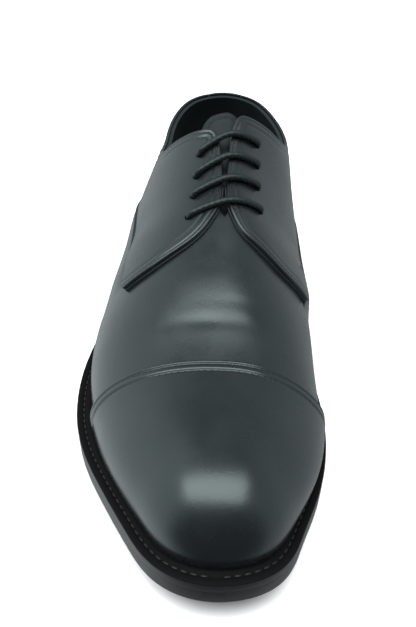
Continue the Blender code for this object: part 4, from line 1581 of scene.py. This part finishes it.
@dataclass
class Cap:
    """Straight toe cap, its edge folded over the vamp and sewn twice."""

    skin: Skin
    pattern: Pattern
    base: float = 0.3 * MM
    thickness: float = 1.4 * MM
    fold: float = 0.9 * MM
    rows: tuple[float, float] = (1.7 * MM, 4.6 * MM)
    furrow_depth: float = 0.32 * MM
    puff: float = 0.30 * MM

    def lift(self, away: np.ndarray) -> np.ndarray:
        """Shape the outside of the cap.

        Args:
            away: Distances from the seam's edge.

        Returns:
            The lift at each of them.
        """
        raised = self.puff * np.clip(1 - (away - self.rows[1]) / (1.2 * MM), 0, 1)
        lift = self.base + self.thickness * (0.45 + 0.55 * rolled(away, self.fold)) + raised
        for row in self.rows:
            lift = lift - (self.furrow_depth + 0.5 * self.puff) * furrow(away, row)
        return lift

    def build(self, wardrobe: Wardrobe) -> bpy.types.Object:
        """Build the cap.

        Args:
            wardrobe: The finishes.

        Returns:
            The piece.
        """
        line = self.pattern.cap_line(300)
        share = graded(0.085, 0.0003, 0.0011, True, False, 0.0065)[:, None]
        across = np.linspace(-FOOT, FOOT, 171)
        seam = np.interp(across, line[:, 1], line[:, 0])
        spots = spots_at(seam + (1 - seam) * share, across)
        places = self.skin.at(spots)
        away = distance_to(places, self.skin.at(line))
        shell = Shell("toe_cap")
        shell.add(self.skin.at(spots, self.lift(away)), self.skin.at(spots, self.base))
        obj = shell.build((wardrobe.calf,))
        return Piece("straight_cap", Slot.CALF, ("toe_cap",)).finish(obj, 60)

    def seam_rows(self) -> list[tuple[np.ndarray, np.ndarray]]:
        """Draw the rows of stitches.

        Returns:
            For each row its path and the lift along it.
        """
        line = self.pattern.cap_line(300)[5:-5]
        found = []
        for row in self.rows:
            path = self.skin.beside(line, -row)
            if path[len(path) // 2, 0] < self.pattern.cap_seam:
                path = self.skin.beside(line, row)
            found.append((path, self.lift(np.full(len(path), row))))
        return found


@dataclass
class BackStrip:
    """Strip over the back seam, folded at its sides and sewn along them."""

    skin: Skin
    pattern: Pattern
    base: float = 0.3 * MM
    thickness: float = 2.0 * MM
    fold: float = 1.0 * MM
    row: float = 1.8 * MM
    furrow_depth: float = 0.22 * MM

    def build(self, wardrobe: Wardrobe) -> bpy.types.Object:
        """Build the strip.

        Args:
            wardrobe: The finishes.

        Returns:
            The piece.
        """
        reach = self.pattern.strip_share()
        side_shares = 1 - graded(0.0095, 0.0003, 0.0009, True, False, 0.003)[::-1]
        rise = graded(0.057, 0.0003, 0.0015, False, True, 0.003)[None]
        shell = Shell("back_strip")
        for side in Side:
            around = reach * side_shares
            top = np.interp(around, *self.pattern.top_line(side).T)
            foot = side.value * FOOT
            spots = spots_at(around[:, None], foot + (top[:, None] - foot) * rise)
            places = self.skin.at(spots)
            from_side = distance_to(places, self.skin.at(spots_at(reach, np.linspace(foot, top[-1],
                                                                                     100))))
            from_top = distance_to(places, self.skin.at(spots_at(around, top)))
            away = np.minimum(from_side, from_top)
            lift = self.base + self.thickness * (0.45 + 0.55 * rolled(away, self.fold))
            lift = lift - self.furrow_depth * furrow(from_side, self.row)
            shell.add(self.skin.at(spots, lift), self.skin.at(spots, self.base))
        obj = shell.build((wardrobe.calf,))
        return Piece("heel_strip", Slot.CALF, ("back_strip",)).finish(obj, 60)

    def seam_rows(self) -> list[tuple[np.ndarray, np.ndarray]]:
        """Draw the rows along both sides.

        Returns:
            For each row its path and the lift along it.
        """
        found = []
        reach = self.pattern.strip_share()
        for side in Side:
            top = float(np.interp(reach, *self.pattern.top_line(side).T))
            line = spots_at(reach, np.linspace(0.95 * side.value, top, 120))
            path = self.skin.beside(line, self.row)
            if path[len(path) // 2, 0] > reach:
                path = self.skin.beside(line, -self.row)
            found.append((path, np.full(len(path), self.base + self.thickness - 0.2 * MM)))
        return found


@dataclass
class Tongue:
    """Tongue, which lies under the facings and stands a little above them."""

    skin: Skin
    thickness: float = 2.2 * MM
    # how deep its outside lies at the top, and from under the first bar on
    high: float = 2.1 * MM
    sink: float = 3.4 * MM
    fold: float = 1.0 * MM
    fold_drop: float = 0.9 * MM
    row: float = 2.6 * MM
    furrow_depth: float = 0.2 * MM
    # around, half width in shares of the way down
    flaps: tuple = ((0.397, 0.085), (0.400, 0.115), (0.406, 0.140), (0.415, 0.160),
                    (0.430, 0.180), (0.480, 0.190), (0.548, 0.185), (0.604, 0.170))

    def half(self, around: np.ndarray) -> np.ndarray:
        """Half width at shares around."""
        return read_table(self.flaps, around)

    def top(self, around: np.ndarray) -> np.ndarray:
        """Lift of its outside, which sinks under the lace."""
        return -self.high - (self.sink - self.high) * eased((around - 0.40) / 0.03)

    def build(self, wardrobe: Wardrobe) -> bpy.types.Object:
        """Build the tongue.

        Args:
            wardrobe: The finishes.

        Returns:
            The piece.
        """
        start, end = self.flaps[0][0], self.flaps[-1][0]
        around = start + (end - start) * graded(0.078, 0.0003, 0.0012, True, False, 0.005)
        around = around[:, None]
        spots = spots_at(around, np.linspace(-1, 1, 61) * self.half(around))
        places = self.skin.at(spots)
        rim = self.skin.at(np.concatenate([spots[::-1, 0], spots[0, 1:], spots[1:, -1]]))
        away = distance_to(places, rim)
        top = self.top(around)
        lift = (top - self.fold_drop * (1 - rolled(away, self.fold))
                - self.furrow_depth * furrow(away, self.row))
        shell = Shell("tongue")
        shell.add(self.skin.at(spots, lift), self.skin.at(spots, top - self.thickness))
        obj = shell.build((wardrobe.dull_calf, wardrobe.lining))
        return Piece("tongue_leather", Slot.CALF, ("tongue",)).finish(obj, 60)

    def seam_rows(self) -> list[tuple[np.ndarray, np.ndarray]]:
        """Draw the row of stitches near the top edge.

        Returns:
            Its path and the lift along it, as the only row.
        """
        start, width = self.flaps[0]
        around = np.linspace(0.440, start, 60)
        left = spots_at(around, -self.half(around))
        head = spots_at(start, np.linspace(-width, width, 40))
        right = (left * (1, -1))[::-1]
        rim = self.skin.even(np.concatenate([left[:-1], head[1:-1], right[1:]]), 0.6 * MM)
        path = self.skin.beside(rim, self.row)
        if path[len(path) // 2, 0] < start:
            path = self.skin.beside(rim, -self.row)
        return [(path, self.top(path[:, 0]) - 0.1 * MM)]


@dataclass
class Lacing:
    """One woven lace in straight bars, which runs on flattened under the facings."""

    skin: Skin
    pattern: Pattern
    radius: float = 1.4 * MM
    leather: float = 1.9 * MM
    under: float = -2.6 * MM
    bend: float = 2.2 * MM
    sides: int = 20
    ring: float = 0.30 * MM
    strands: int = 5
    weave: float = 2.6 * MM
    relief: float = 0.13 * MM
    flat: float = 0.5
    aside: float = 0.022
    # height of a bar over the leather, as a share of its bend
    crown: float = 0.8
    # how far round the strands reach towards each other
    plump: float = 1.6

    def bar(self, number: int) -> np.ndarray:
        """Draw a bar, from inside the outer eyelet to inside the inner one.

        Args:
            number: Number of its pair of eyelets, from the top.

        Returns:
            Its rows (around, across, lift).
        """
        ends = [self.pattern.spots(side, self.pattern.eyelets[side])[number] for side in Side]
        spots = np.linspace(*ends, 60)
        run = run_along(self.skin.at(spots))
        total = run[-1]
        route = [(0.0, self.under), (0.0, 0.0), (0.05 * MM, self.leather - 0.3 * MM)]
        for angle in np.linspace(0.25, 1, 4) * math.pi / 2:
            route.append((self.bend * (1 - math.cos(angle)),
                          self.leather + self.bend * math.sin(angle) * self.crown))
        crown = self.leather + self.crown * self.bend
        level = [(x, crown) for x in np.linspace(self.bend, total - self.bend, 12)[1:-1]]
        back = [(total - x, lift) for x, lift in reversed(route)]
        marks, lifts = np.array(route + level + back).T
        return np.column_stack([interpolated(marks, run, spots), lifts])

    def hidden(self, side: Side, first: float, last: float, aside: float = 0.0) -> np.ndarray:
        """Rows of a run under a facing between two eyelets.

        Args:
            side: Side of the foot.
            first: Number of the eyelet that it starts from.
            last: Number of the one that it goes to.
            aside: How far it swings away from the line of eyelets, as a share across.

        Returns:
            The rows (around, across, lift), without those at the eyelets.
        """
        spots = self.pattern.spots(side, self.pattern.eyelets[side])
        share = np.linspace(0, 1, 9)[1:-1]
        rows = interpolated(first + (last - first) * share, np.arange(len(spots)), spots)
        rows[:, 1] += side.value * aside * np.sin(math.pi * share)
        return np.column_stack([rows, np.full(len(rows), self.under)])

    def route(self) -> np.ndarray:
        """Lead the lace from the top outer eyelet round to its other end.

        Returns:
            Its rows (around, across, lift).
        """
        return np.concatenate([
            self.bar(0), self.hidden(Side.INNER, 0, 2, self.aside),
            self.bar(2)[::-1], self.hidden(Side.OUTER, 2, 3),
            self.bar(3), self.hidden(Side.INNER, 3, 1, -self.aside),
            self.bar(1)[::-1], self.hidden(Side.OUTER, 1, 0.3),
        ])

    def build(self, wardrobe: Wardrobe) -> bpy.types.Object:
        """Weave the lace as one round braid, flattened where leather presses on it.

        Args:
            wardrobe: The finishes.

        Returns:
            The piece.
        """
        rows = self.route()
        line = self.skin.at(rows[:, :2], rows[:, 2])
        run = run_along(line)
        marks = np.linspace(0, run[-1], int(run[-1] / self.ring))
        centre = np.stack([flowing(run, line[:, k], marks) for k in range(3)], -1)
        outs = interpolated(marks, run, self.skin.out(rows[:, :2]))
        press = np.clip(np.interp(marks, run, rows[:, 2]) / self.under, 0, 1) ** 2
        press = 1 - (1 - self.flat) * press
        ahead = unit(np.gradient(centre, axis=0))
        normal = np.cross(ahead[0], (0.0, 1.0, 0.3))
        turn = np.linspace(0, 2 * math.pi, self.sides, endpoint=False)
        rings = []
        for i, mark in enumerate(marks):
            normal = unit(normal - ahead[i] * (normal @ ahead[i]))
            other = np.cross(ahead[i], normal)
            phase = 2 * math.pi * mark / self.weave
            one = np.abs(np.cos((self.strands * turn + phase) / 2))
            two = np.abs(np.cos((self.strands * turn - phase) / 2))
            reach = self.radius - self.relief + self.relief * np.maximum(one, two) * self.plump
            ring = reach[:, None] * (np.cos(turn)[:, None] * normal
                                     + np.sin(turn)[:, None] * other)
            across = np.linalg.norm(np.cross(ahead[i], outs[i]))
            lost = (1 - press[i]) * across * (ring @ outs[i])
            rings.append(centre[i] + ring - lost[:, None] * outs[i])
        points = np.array(rings).reshape(-1, 3)
        near = np.arange(len(points)).reshape(-1, self.sides)
        after = np.roll(near, -1, axis=1)
        faces = np.stack([near[:-1], after[:-1], after[1:], near[1:]], -1).reshape(-1, 4).tolist()
        faces += [near[0, ::-1].tolist(), near[-1].tolist()]
        mesh = bpy.data.meshes.new("lace")
        mesh.from_pydata(points.tolist(), [], faces)
        mesh.materials.append(wardrobe.cotton)
        nodes = tuple(f"lace_bar_{k + 1}" for k in range(4))
        return Piece("woven_lace", Slot.CORD, nodes).finish(placed_object("lace", mesh), 80)


@dataclass
class Insole:
    """Sock inside the shoe, slightly cupped."""

    last: Last
    inset: float = 2.6 * MM
    thickness: float = 3.0 * MM
    cup: float = 1.2 * MM

    def build(self, wardrobe: Wardrobe) -> bpy.types.Object:
        """Build the sock.

        Args:
            wardrobe: The finishes.

        Returns:
            The piece.
        """
        outline = self.last.feather.grown(lambda side, share: -self.inset)
        around = np.unique(np.concatenate([np.linspace(0, 1, 121), [0.004, 0.996]]))
        middle = 0.5 * (outline.points(Side.OUTER, around) + outline.points(Side.INNER, around))
        shell = Shell("insole")
        reach = np.linspace(0, 1, 13)[None, :, None]
        for side in Side:
            edge = outline.points(side, around)[:, None]
            plan = middle[:, None] + (edge - middle[:, None]) * reach
            floor = self.last.feather_height(plan[..., 1])
            half = np.linalg.norm(edge - middle[:, None], axis=-1)
            dish = self.cup * np.clip(half / 0.03, 0, 1) * (1 - reach[..., 0] ** 2)
            high = floor + self.thickness - dish - 0.5 * MM * (reach[..., 0] == 1)
            shell.add(self.last.placed(plan, high), self.last.placed(plan, floor))
        obj = shell.build((wardrobe.lining,))
        return Piece("insole_sock", Slot.LINING, ("insole",)).finish(obj)


@dataclass
class Sole:
    """Welt, outsole and stacked heel."""

    last: Last
    edge_round: float = 0.9 * MM
    under_welt: float = 0.05 * MM
    stitch_pitch: float = 3.4 * MM
    stitch_sink: float = 0.25 * MM
    # length, width and height of its stitches, as shares of the upper's
    stitch_size: tuple[float, float, float] = (1.4, 1.5, 1.5)
    # share around from which the welt is sewn
    sewn_from: float = 0.30
    # the corner carries a painted highlight ahead of this y, and as far in from its edge as this
    highlight_ahead: float = -0.117
    highlight_width: float = 0.22 * MM
    # how far sideways a face leans that belongs to the welt's side, or to its corner
    side_lean: float = 0.9
    corner_lean: float = 0.3
    # of the welt's top, from its outer edge inwards: inset and height, in millimetres
    profile: tuple = ((0.00, -3.3), (0.00, -0.55), (0.12, -0.22), (0.40, -0.04), (0.80, 0.0),
                      (2.30, 0.0), (2.75, -0.30), (3.20, -0.42), (3.65, -0.30), (4.10, 0.0),
                      (5.20, 0.05), (6.50, -0.10), (8.00, -0.15))
    groove: float = 3.2 * MM
    heel_length: float = 0.078
    heel_inset: float = 0.6 * MM
    heel_taper: float = 1.8 * MM
    breast_hollow: float = 3.0 * MM
    top_piece: float = 6.0 * MM
    lifts: int = 3
    lift_gap: float = 0.06 * MM
    lift_round: float = 0.25 * MM
    top_round: float = 0.7 * MM
    heel_rows: int = 60
    # edges sharper than this are rounded
    sharp: float = math.radians(50)

    def around(self, count: int) -> np.ndarray:
        """Shares around of the rows of a sole piece, closer at heel and toe."""
        turn = np.linspace(0, math.pi, count)
        return 0.5 * (1 - np.cos(turn)) * 0.35 + 0.65 * np.linspace(0, 1, count)

    def welt(self, wardrobe: Wardrobe) -> bpy.types.Object:
        """Build the welt, with its seam's groove and a rounded upper corner with a painted
        highlight at the toe.

        Args:
            wardrobe: The finishes.

        Returns:
            The piece.
        """
        around = self.around(221)
        inset, height = np.array(self.profile).T * MM
        shell = Shell("welt")
        for side in Side:
            edge = self.last.sole_edge.points(side, around)[:, None]
            out = self.last.sole_edge.outward(side, around)[:, None]
            plan = edge - out * inset[:, None]
            low = self.last.outsole_top(edge[..., 1]) + self.under_welt
            shell.add(self.last.placed(plan, self.last.welt_top(edge[..., 1]) + height),
                      self.last.placed(plan, np.broadcast_to(low, plan.shape[:-1])))
        obj = shell.build((wardrobe.welt,))
        obj.data.materials.append(wardrobe.rubber)
        obj.data.materials.append(wardrobe.welt_corner_highlight)
        self._paint_edge(obj)
        return Piece("stitched_welt", Slot.WELT, ("welt",)).finish(obj, 40)

    def _paint_edge(self, obj: bpy.types.Object) -> None:
        """Give the welt's side the finish of the sole edge, and its corner at the toe a painted
        highlight.
        """
        mesh = obj.data
        around = np.linspace(0, 1, 900)
        rim = np.concatenate([self.last.sole_edge.points(side, around) for side in Side])
        rim = self.last.placed(rim, np.zeros(len(rim)))[:, :2]
        for face in mesh.polygons:
            flat = math.hypot(face.normal.x, face.normal.y)
            if flat > self.side_lean:
                face.material_index = 1
            # painted highlight: corner faces near the rim at the toe get the lighter brown finish
            elif (min(flat, face.normal.z) > self.corner_lean
                  and face.center.y < self.highlight_ahead):
                away = np.hypot(*(rim - (face.center.x, face.center.y)).T).min()
                if away < self.highlight_width:
                    face.material_index = 2

    def slab(self, wardrobe: Wardrobe) -> bpy.types.Object:
        """Build the outsole with rounded edges.

        Args:
            wardrobe: The finishes.

        Returns:
            The piece.
        """
        around = self.around(161)
        outline = self.last.sole_edge
        middle = 0.5 * (outline.points(Side.OUTER, around) + outline.points(Side.INNER, around))
        reach = np.concatenate([np.linspace(0, 0.9, 8), [1.0]])[None, :, None]
        shell = Shell("outsole")
        for side in Side:
            edge = outline.points(side, around)[:, None]
            plan = middle[:, None] + (edge - middle[:, None]) * reach
            shell.add(self.last.placed(plan, self.last.outsole_top(plan[..., 1])),
                      self.last.placed(plan, self.last.tread(plan[..., 1])))
        obj = shell.build((wardrobe.rubber,))
        self.rounded(obj, self.edge_round)
        return Piece("outsole_slab", Slot.RUBBER, ("outsole",)).finish(obj, 40)

    def rounded(self, obj: bpy.types.Object, width: float) -> None:
        """Round the sharp edges of a piece with an applied bevel.

        Args:
            obj: The piece.
            width: Width of the bevel.
        """
        only(obj)
        bevel = obj.modifiers.new("rounded", "BEVEL")
        bevel.width = width
        bevel.segments = 3
        bevel.limit_method = "ANGLE"
        bevel.angle_limit = self.sharp
        bpy.ops.object.modifier_apply(modifier=bevel.name)

    def heel_plan(self, inset: float, side: Side) -> np.ndarray:
        """Draw the plan of one half of the heel, from its back to the hollow breast.

        Args:
            inset: How far it stands in from the sole's edge.
            side: Side of the foot.

        Returns:
            Grid of (across, place).
        """
        outline = self.last.sole_edge.grown(lambda _, share: -inset)
        steps = self.heel_rows
        around = np.linspace(0, 1, steps + 1) ** 1.3 * outline.share_at(self.heel_length)
        other = Side.INNER if side is Side.OUTER else Side.OUTER
        edge = outline.points(side, around)[:, None]
        across = outline.points(other, around)[:, None]
        reach = np.linspace(0, 1, 9)[None, :, None]
        plan = edge + (across - edge) * reach / 2
        forward = (np.arange(steps + 1) / steps) ** 3
        hollow = self.breast_hollow * (1 - (1 - reach[..., 0]) ** 2)
        plan[..., 1] -= forward[:, None] * hollow
        return plan

    def block(self, name: str, top: Callable[[np.ndarray], np.ndarray],
              low: Callable[[np.ndarray], np.ndarray], insets: tuple[float, float],
              finish: bpy.types.Material) -> bpy.types.Object:
        """One layer of the heel between two heights.

        Args:
            name: Name of the layer.
            top: Height of its top at a place.
            low: Height of its underside at a place.
            insets: How far it stands in from the sole's edge, above and below.
            finish: Its material.

        Returns:
            The layer.
        """
        shell = Shell(name)
        for side in Side:
            high, foot = (self.heel_plan(inset, side) for inset in insets)
            shell.add(self.last.placed(high, top(high[..., 1])),
                      self.last.placed(foot, low(foot[..., 1])))
        return shell.build((finish,))

    def level(self, share: float, trim: float) -> Callable[[np.ndarray], np.ndarray]:
        """Give the height of a layer of the heel at any place.

        Args:
            share: Share of the way down from the outsole to the top piece.
            trim: Height to add.

        Returns:
            A function of the place.
        """
        foot = self.top_piece + self.last.gap
        return lambda place: ((self.last.tread(place) - self.last.gap) * (1 - share)
                              + foot * share + trim)

    def heel(self, wardrobe: Wardrobe) -> bpy.types.Object:
        """Build the lifts of the heel as one piece.

        Args:
            wardrobe: The finishes.

        Returns:
            The piece.
        """
        layers = []
        for k in range(self.lifts):
            shares = (k / self.lifts, (k + 1) / self.lifts)
            insets = tuple(self.heel_inset + self.heel_taper * share for share in shares)
            obj = self.block("heel_lift", self.level(shares[0], 0.0),
                             self.level(shares[1], self.lift_gap), insets, wardrobe.rubber)
            self.rounded(obj, self.lift_round)
            layers.append(obj)
        deselect()
        for obj in layers:
            obj.select_set(True)
        bpy.context.view_layer.objects.active = layers[0]
        bpy.ops.object.join()
        return Piece("heel_lifts", Slot.RUBBER, ("heel",)).finish(layers[0], 40)

    def last_lift(self, wardrobe: Wardrobe) -> bpy.types.Object:
        """Build the wearing piece under the heel.

        Args:
            wardrobe: The finishes.

        Returns:
            The piece.
        """
        inset = self.heel_inset + self.heel_taper
        obj = self.block("top_piece", lambda place: np.full(place.shape, self.top_piece),
                         np.zeros_like, (inset, inset), wardrobe.rubber)
        self.rounded(obj, self.top_round)
        return Piece("last_lift", Slot.RUBBER, ("top_piece",)).finish(obj, 40)

    def stitches(self, wardrobe: Wardrobe, seams: Seams) -> bpy.types.Object:
        """Lay the welt's seam in its groove.

        Args:
            wardrobe: The finishes.
            seams: Maker of the stitches, which are larger here.

        Returns:
            The piece.
        """
        seed, faces = seams.bridge()
        seed = seed * self.stitch_size
        pitch = self.stitch_pitch
        laid = []
        for side in Side:
            around = np.linspace(self.sewn_from, 1, 900)
            edge = self.last.sole_edge.points(side, around)
            plan = edge - self.last.sole_edge.outward(side, around) * self.groove
            line = self.last.placed(plan, self.last.welt_top(edge[:, 1]) - self.stitch_sink)
            marks = np.arange(0.5 * pitch, run_along(line)[-1] - 0.3 * pitch, pitch)
            laid.append(seams.row(seed, line, marks, np.array([UP]), 1 * MM, 0.0))
        return seams.joined("welt_stitches", laid, faces, Slot.WELT, wardrobe.thread)


@dataclass
class Studio:
    """Floor, lights and camera of the photograph."""

    place: tuple[float, float, float] = (0.00287, -0.24407, 0.21506)
    yaw: float = -1.657
    pitch: float = 38.969
    roll: float = 0.976
    # distance of the picture from the eye, and its height, both in pixels
    focal: float = 640.58
    frame_height: int = 627
    floor_size: float = 6.0
    # axis of the tent, where its light starts and ends, and how bright it is at both
    left: tuple = ("X", -0.2, -0.95, 0.0, 1.04)
    right: tuple = ("X", 0.2, 0.95, 0.0, 0.3)
    front: tuple = ("Y", -0.85, -0.25, 0.08, 1.0)
    glow: float = 0.38
    # name, place, width and depth, power in watts, and whether the leather's gloss shows it
    lamps: tuple = (("overhead_softbox", (-0.15, -0.33, 1.0), (1.5, 0.66), 17.0, True),
                    ("floor_fill", (0.0, 0.5, 1.6), (2.6, 2.2), 45.0, False))

    def floor(self) -> None:
        """Lay the floor, which the leather's gloss doesn't mirror."""
        deselect()
        bpy.ops.mesh.primitive_plane_add(size=self.floor_size)
        floor = bpy.context.object
        floor.name = "studio_floor"
        floor.data.materials.append(Paper().make())
        floor.visible_glossy = False

    def camera(self, shift: np.ndarray) -> None:
        """Set the camera at the photograph's angle.

        Args:
            shift: Where the CAD model has the form.
        """
        yaw, pitch, roll = (math.radians(a) for a in (self.yaw, self.pitch, self.roll))
        ahead = Vector((math.sin(yaw) * math.cos(pitch), math.cos(yaw) * math.cos(pitch),
                        -math.sin(pitch)))
        right = ahead.cross(Vector(UP)).normalized()
        up = right.cross(ahead)
        right, up = (right * math.cos(roll) + up * math.sin(roll),
                     up * math.cos(roll) - right * math.sin(roll))
        turn = Matrix((right, up, -ahead)).transposed().to_4x4()
        lens = bpy.data.cameras.new("camera")
        lens.sensor_fit = "VERTICAL"
        lens.sensor_height = 36.0
        lens.lens = self.focal / self.frame_height * lens.sensor_height
        lens.clip_start = 0.01
        eye = placed_object("camera", lens)
        eye.matrix_world = Matrix.Translation(Vector(self.place) + Vector(shift)) @ turn
        bpy.context.scene.camera = eye

    def softbox(self, name: str, place: Sequence[float], size: tuple[float, float],
                power: float, mirrored: bool) -> None:
        """Hang a soft light that faces down.

        Args:
            name: Its name.
            place: Where it hangs.
            size: Its width and depth.
            power: Its power in watts.
            mirrored: Whether the leather's gloss shows it.
        """
        lamp = bpy.data.lights.new(name, "AREA")
        lamp.shape = "RECTANGLE"
        lamp.size, lamp.size_y = size
        lamp.energy = power
        obj = placed_object(name, lamp)
        obj.location = place
        obj.visible_glossy = mirrored

    def tent(self) -> None:
        """Light tent: bright to the left, less so to the right, and dark in front."""
        world = bpy.data.worlds.new("light_tent")
        bpy.context.scene.world = world
        world.use_nodes = True
        tree = world.node_tree
        tree.nodes.clear()
        way = add_node(tree, "ShaderNodeTexCoord").outputs["Generated"]
        parts = add_node(tree, "ShaderNodeSeparateXYZ", {}, {"Vector": way})
        walls = []
        for axis, start, end, low, high in (self.left, self.right, self.front):
            wall = add_node(tree, "ShaderNodeMapRange", {"interpolation_type": "SMOOTHSTEP"},
                            {"Value": parts.outputs[axis], "From Min": start, "From Max": end,
                             "To Min": low, "To Max": high})
            walls.append(wall.outputs["Result"])
        glow = self.glow
        for operation, wall in zip(("ADD", "ADD", "MULTIPLY"), walls):
            glow = add_node(tree, "ShaderNodeMath", {"operation": operation},
                            {0: glow, 1: wall}).outputs[0]
        ground = add_node(tree, "ShaderNodeBackground", {},
                          {"Color": linear("#f0f8fa"), "Strength": glow})
        add_node(tree, "ShaderNodeOutputWorld", {}, {"Surface": ground.outputs[0]})

    def build(self, shift: np.ndarray) -> None:
        """Set up the studio.

        Args:
            shift: Where the CAD model has the form.
        """
        self.floor()
        self.camera(shift)
        self.tent()
        bpy.context.scene.view_settings.view_transform = "Standard"
        for lamp in self.lamps:
            self.softbox(*lamp)


def main() -> None:
    """Build the shoe and its studio, and report each piece."""
    logging.basicConfig(level=logging.INFO, format="%(message)s", stream=sys.stdout)
    deselect()
    last = Last()
    Studio().build(last.shift)
    wardrobe = Wardrobe()
    skin = Skin(last)
    pattern = Pattern(skin)
    seams = Seams(skin)
    upper = Upper(skin, pattern).build(wardrobe)
    rows = []
    for side in Side:
        quarter = Quarter(skin, pattern, side)
        quarter.build(wardrobe, upper)
        quarter.underlay(wardrobe)
        rows += quarter.seam_rows()
    for panel in (Cap(skin, pattern), BackStrip(skin, pattern), Tongue(skin)):
        panel.build(wardrobe)
        rows += panel.seam_rows()
    seams.sew("upper_stitches", rows, Slot.CALF, wardrobe.thread)
    tacks = [Tack(skin, spot).row() for spot in TACK_SPOTS]
    Seams(skin, length=1.1 * MM, pitch=1.15 * MM).sew("bar_tacks", tacks, Slot.CALF,
                                                      wardrobe.thread)
    Lacing(skin, pattern).build(wardrobe)
    Insole(last).build(wardrobe)
    sole = Sole(last)
    sole.welt(wardrobe)
    sole.slab(wardrobe)
    sole.heel(wardrobe)
    sole.last_lift(wardrobe)
    sole.stitches(wardrobe, seams)


if __name__ == "__main__":
    main()
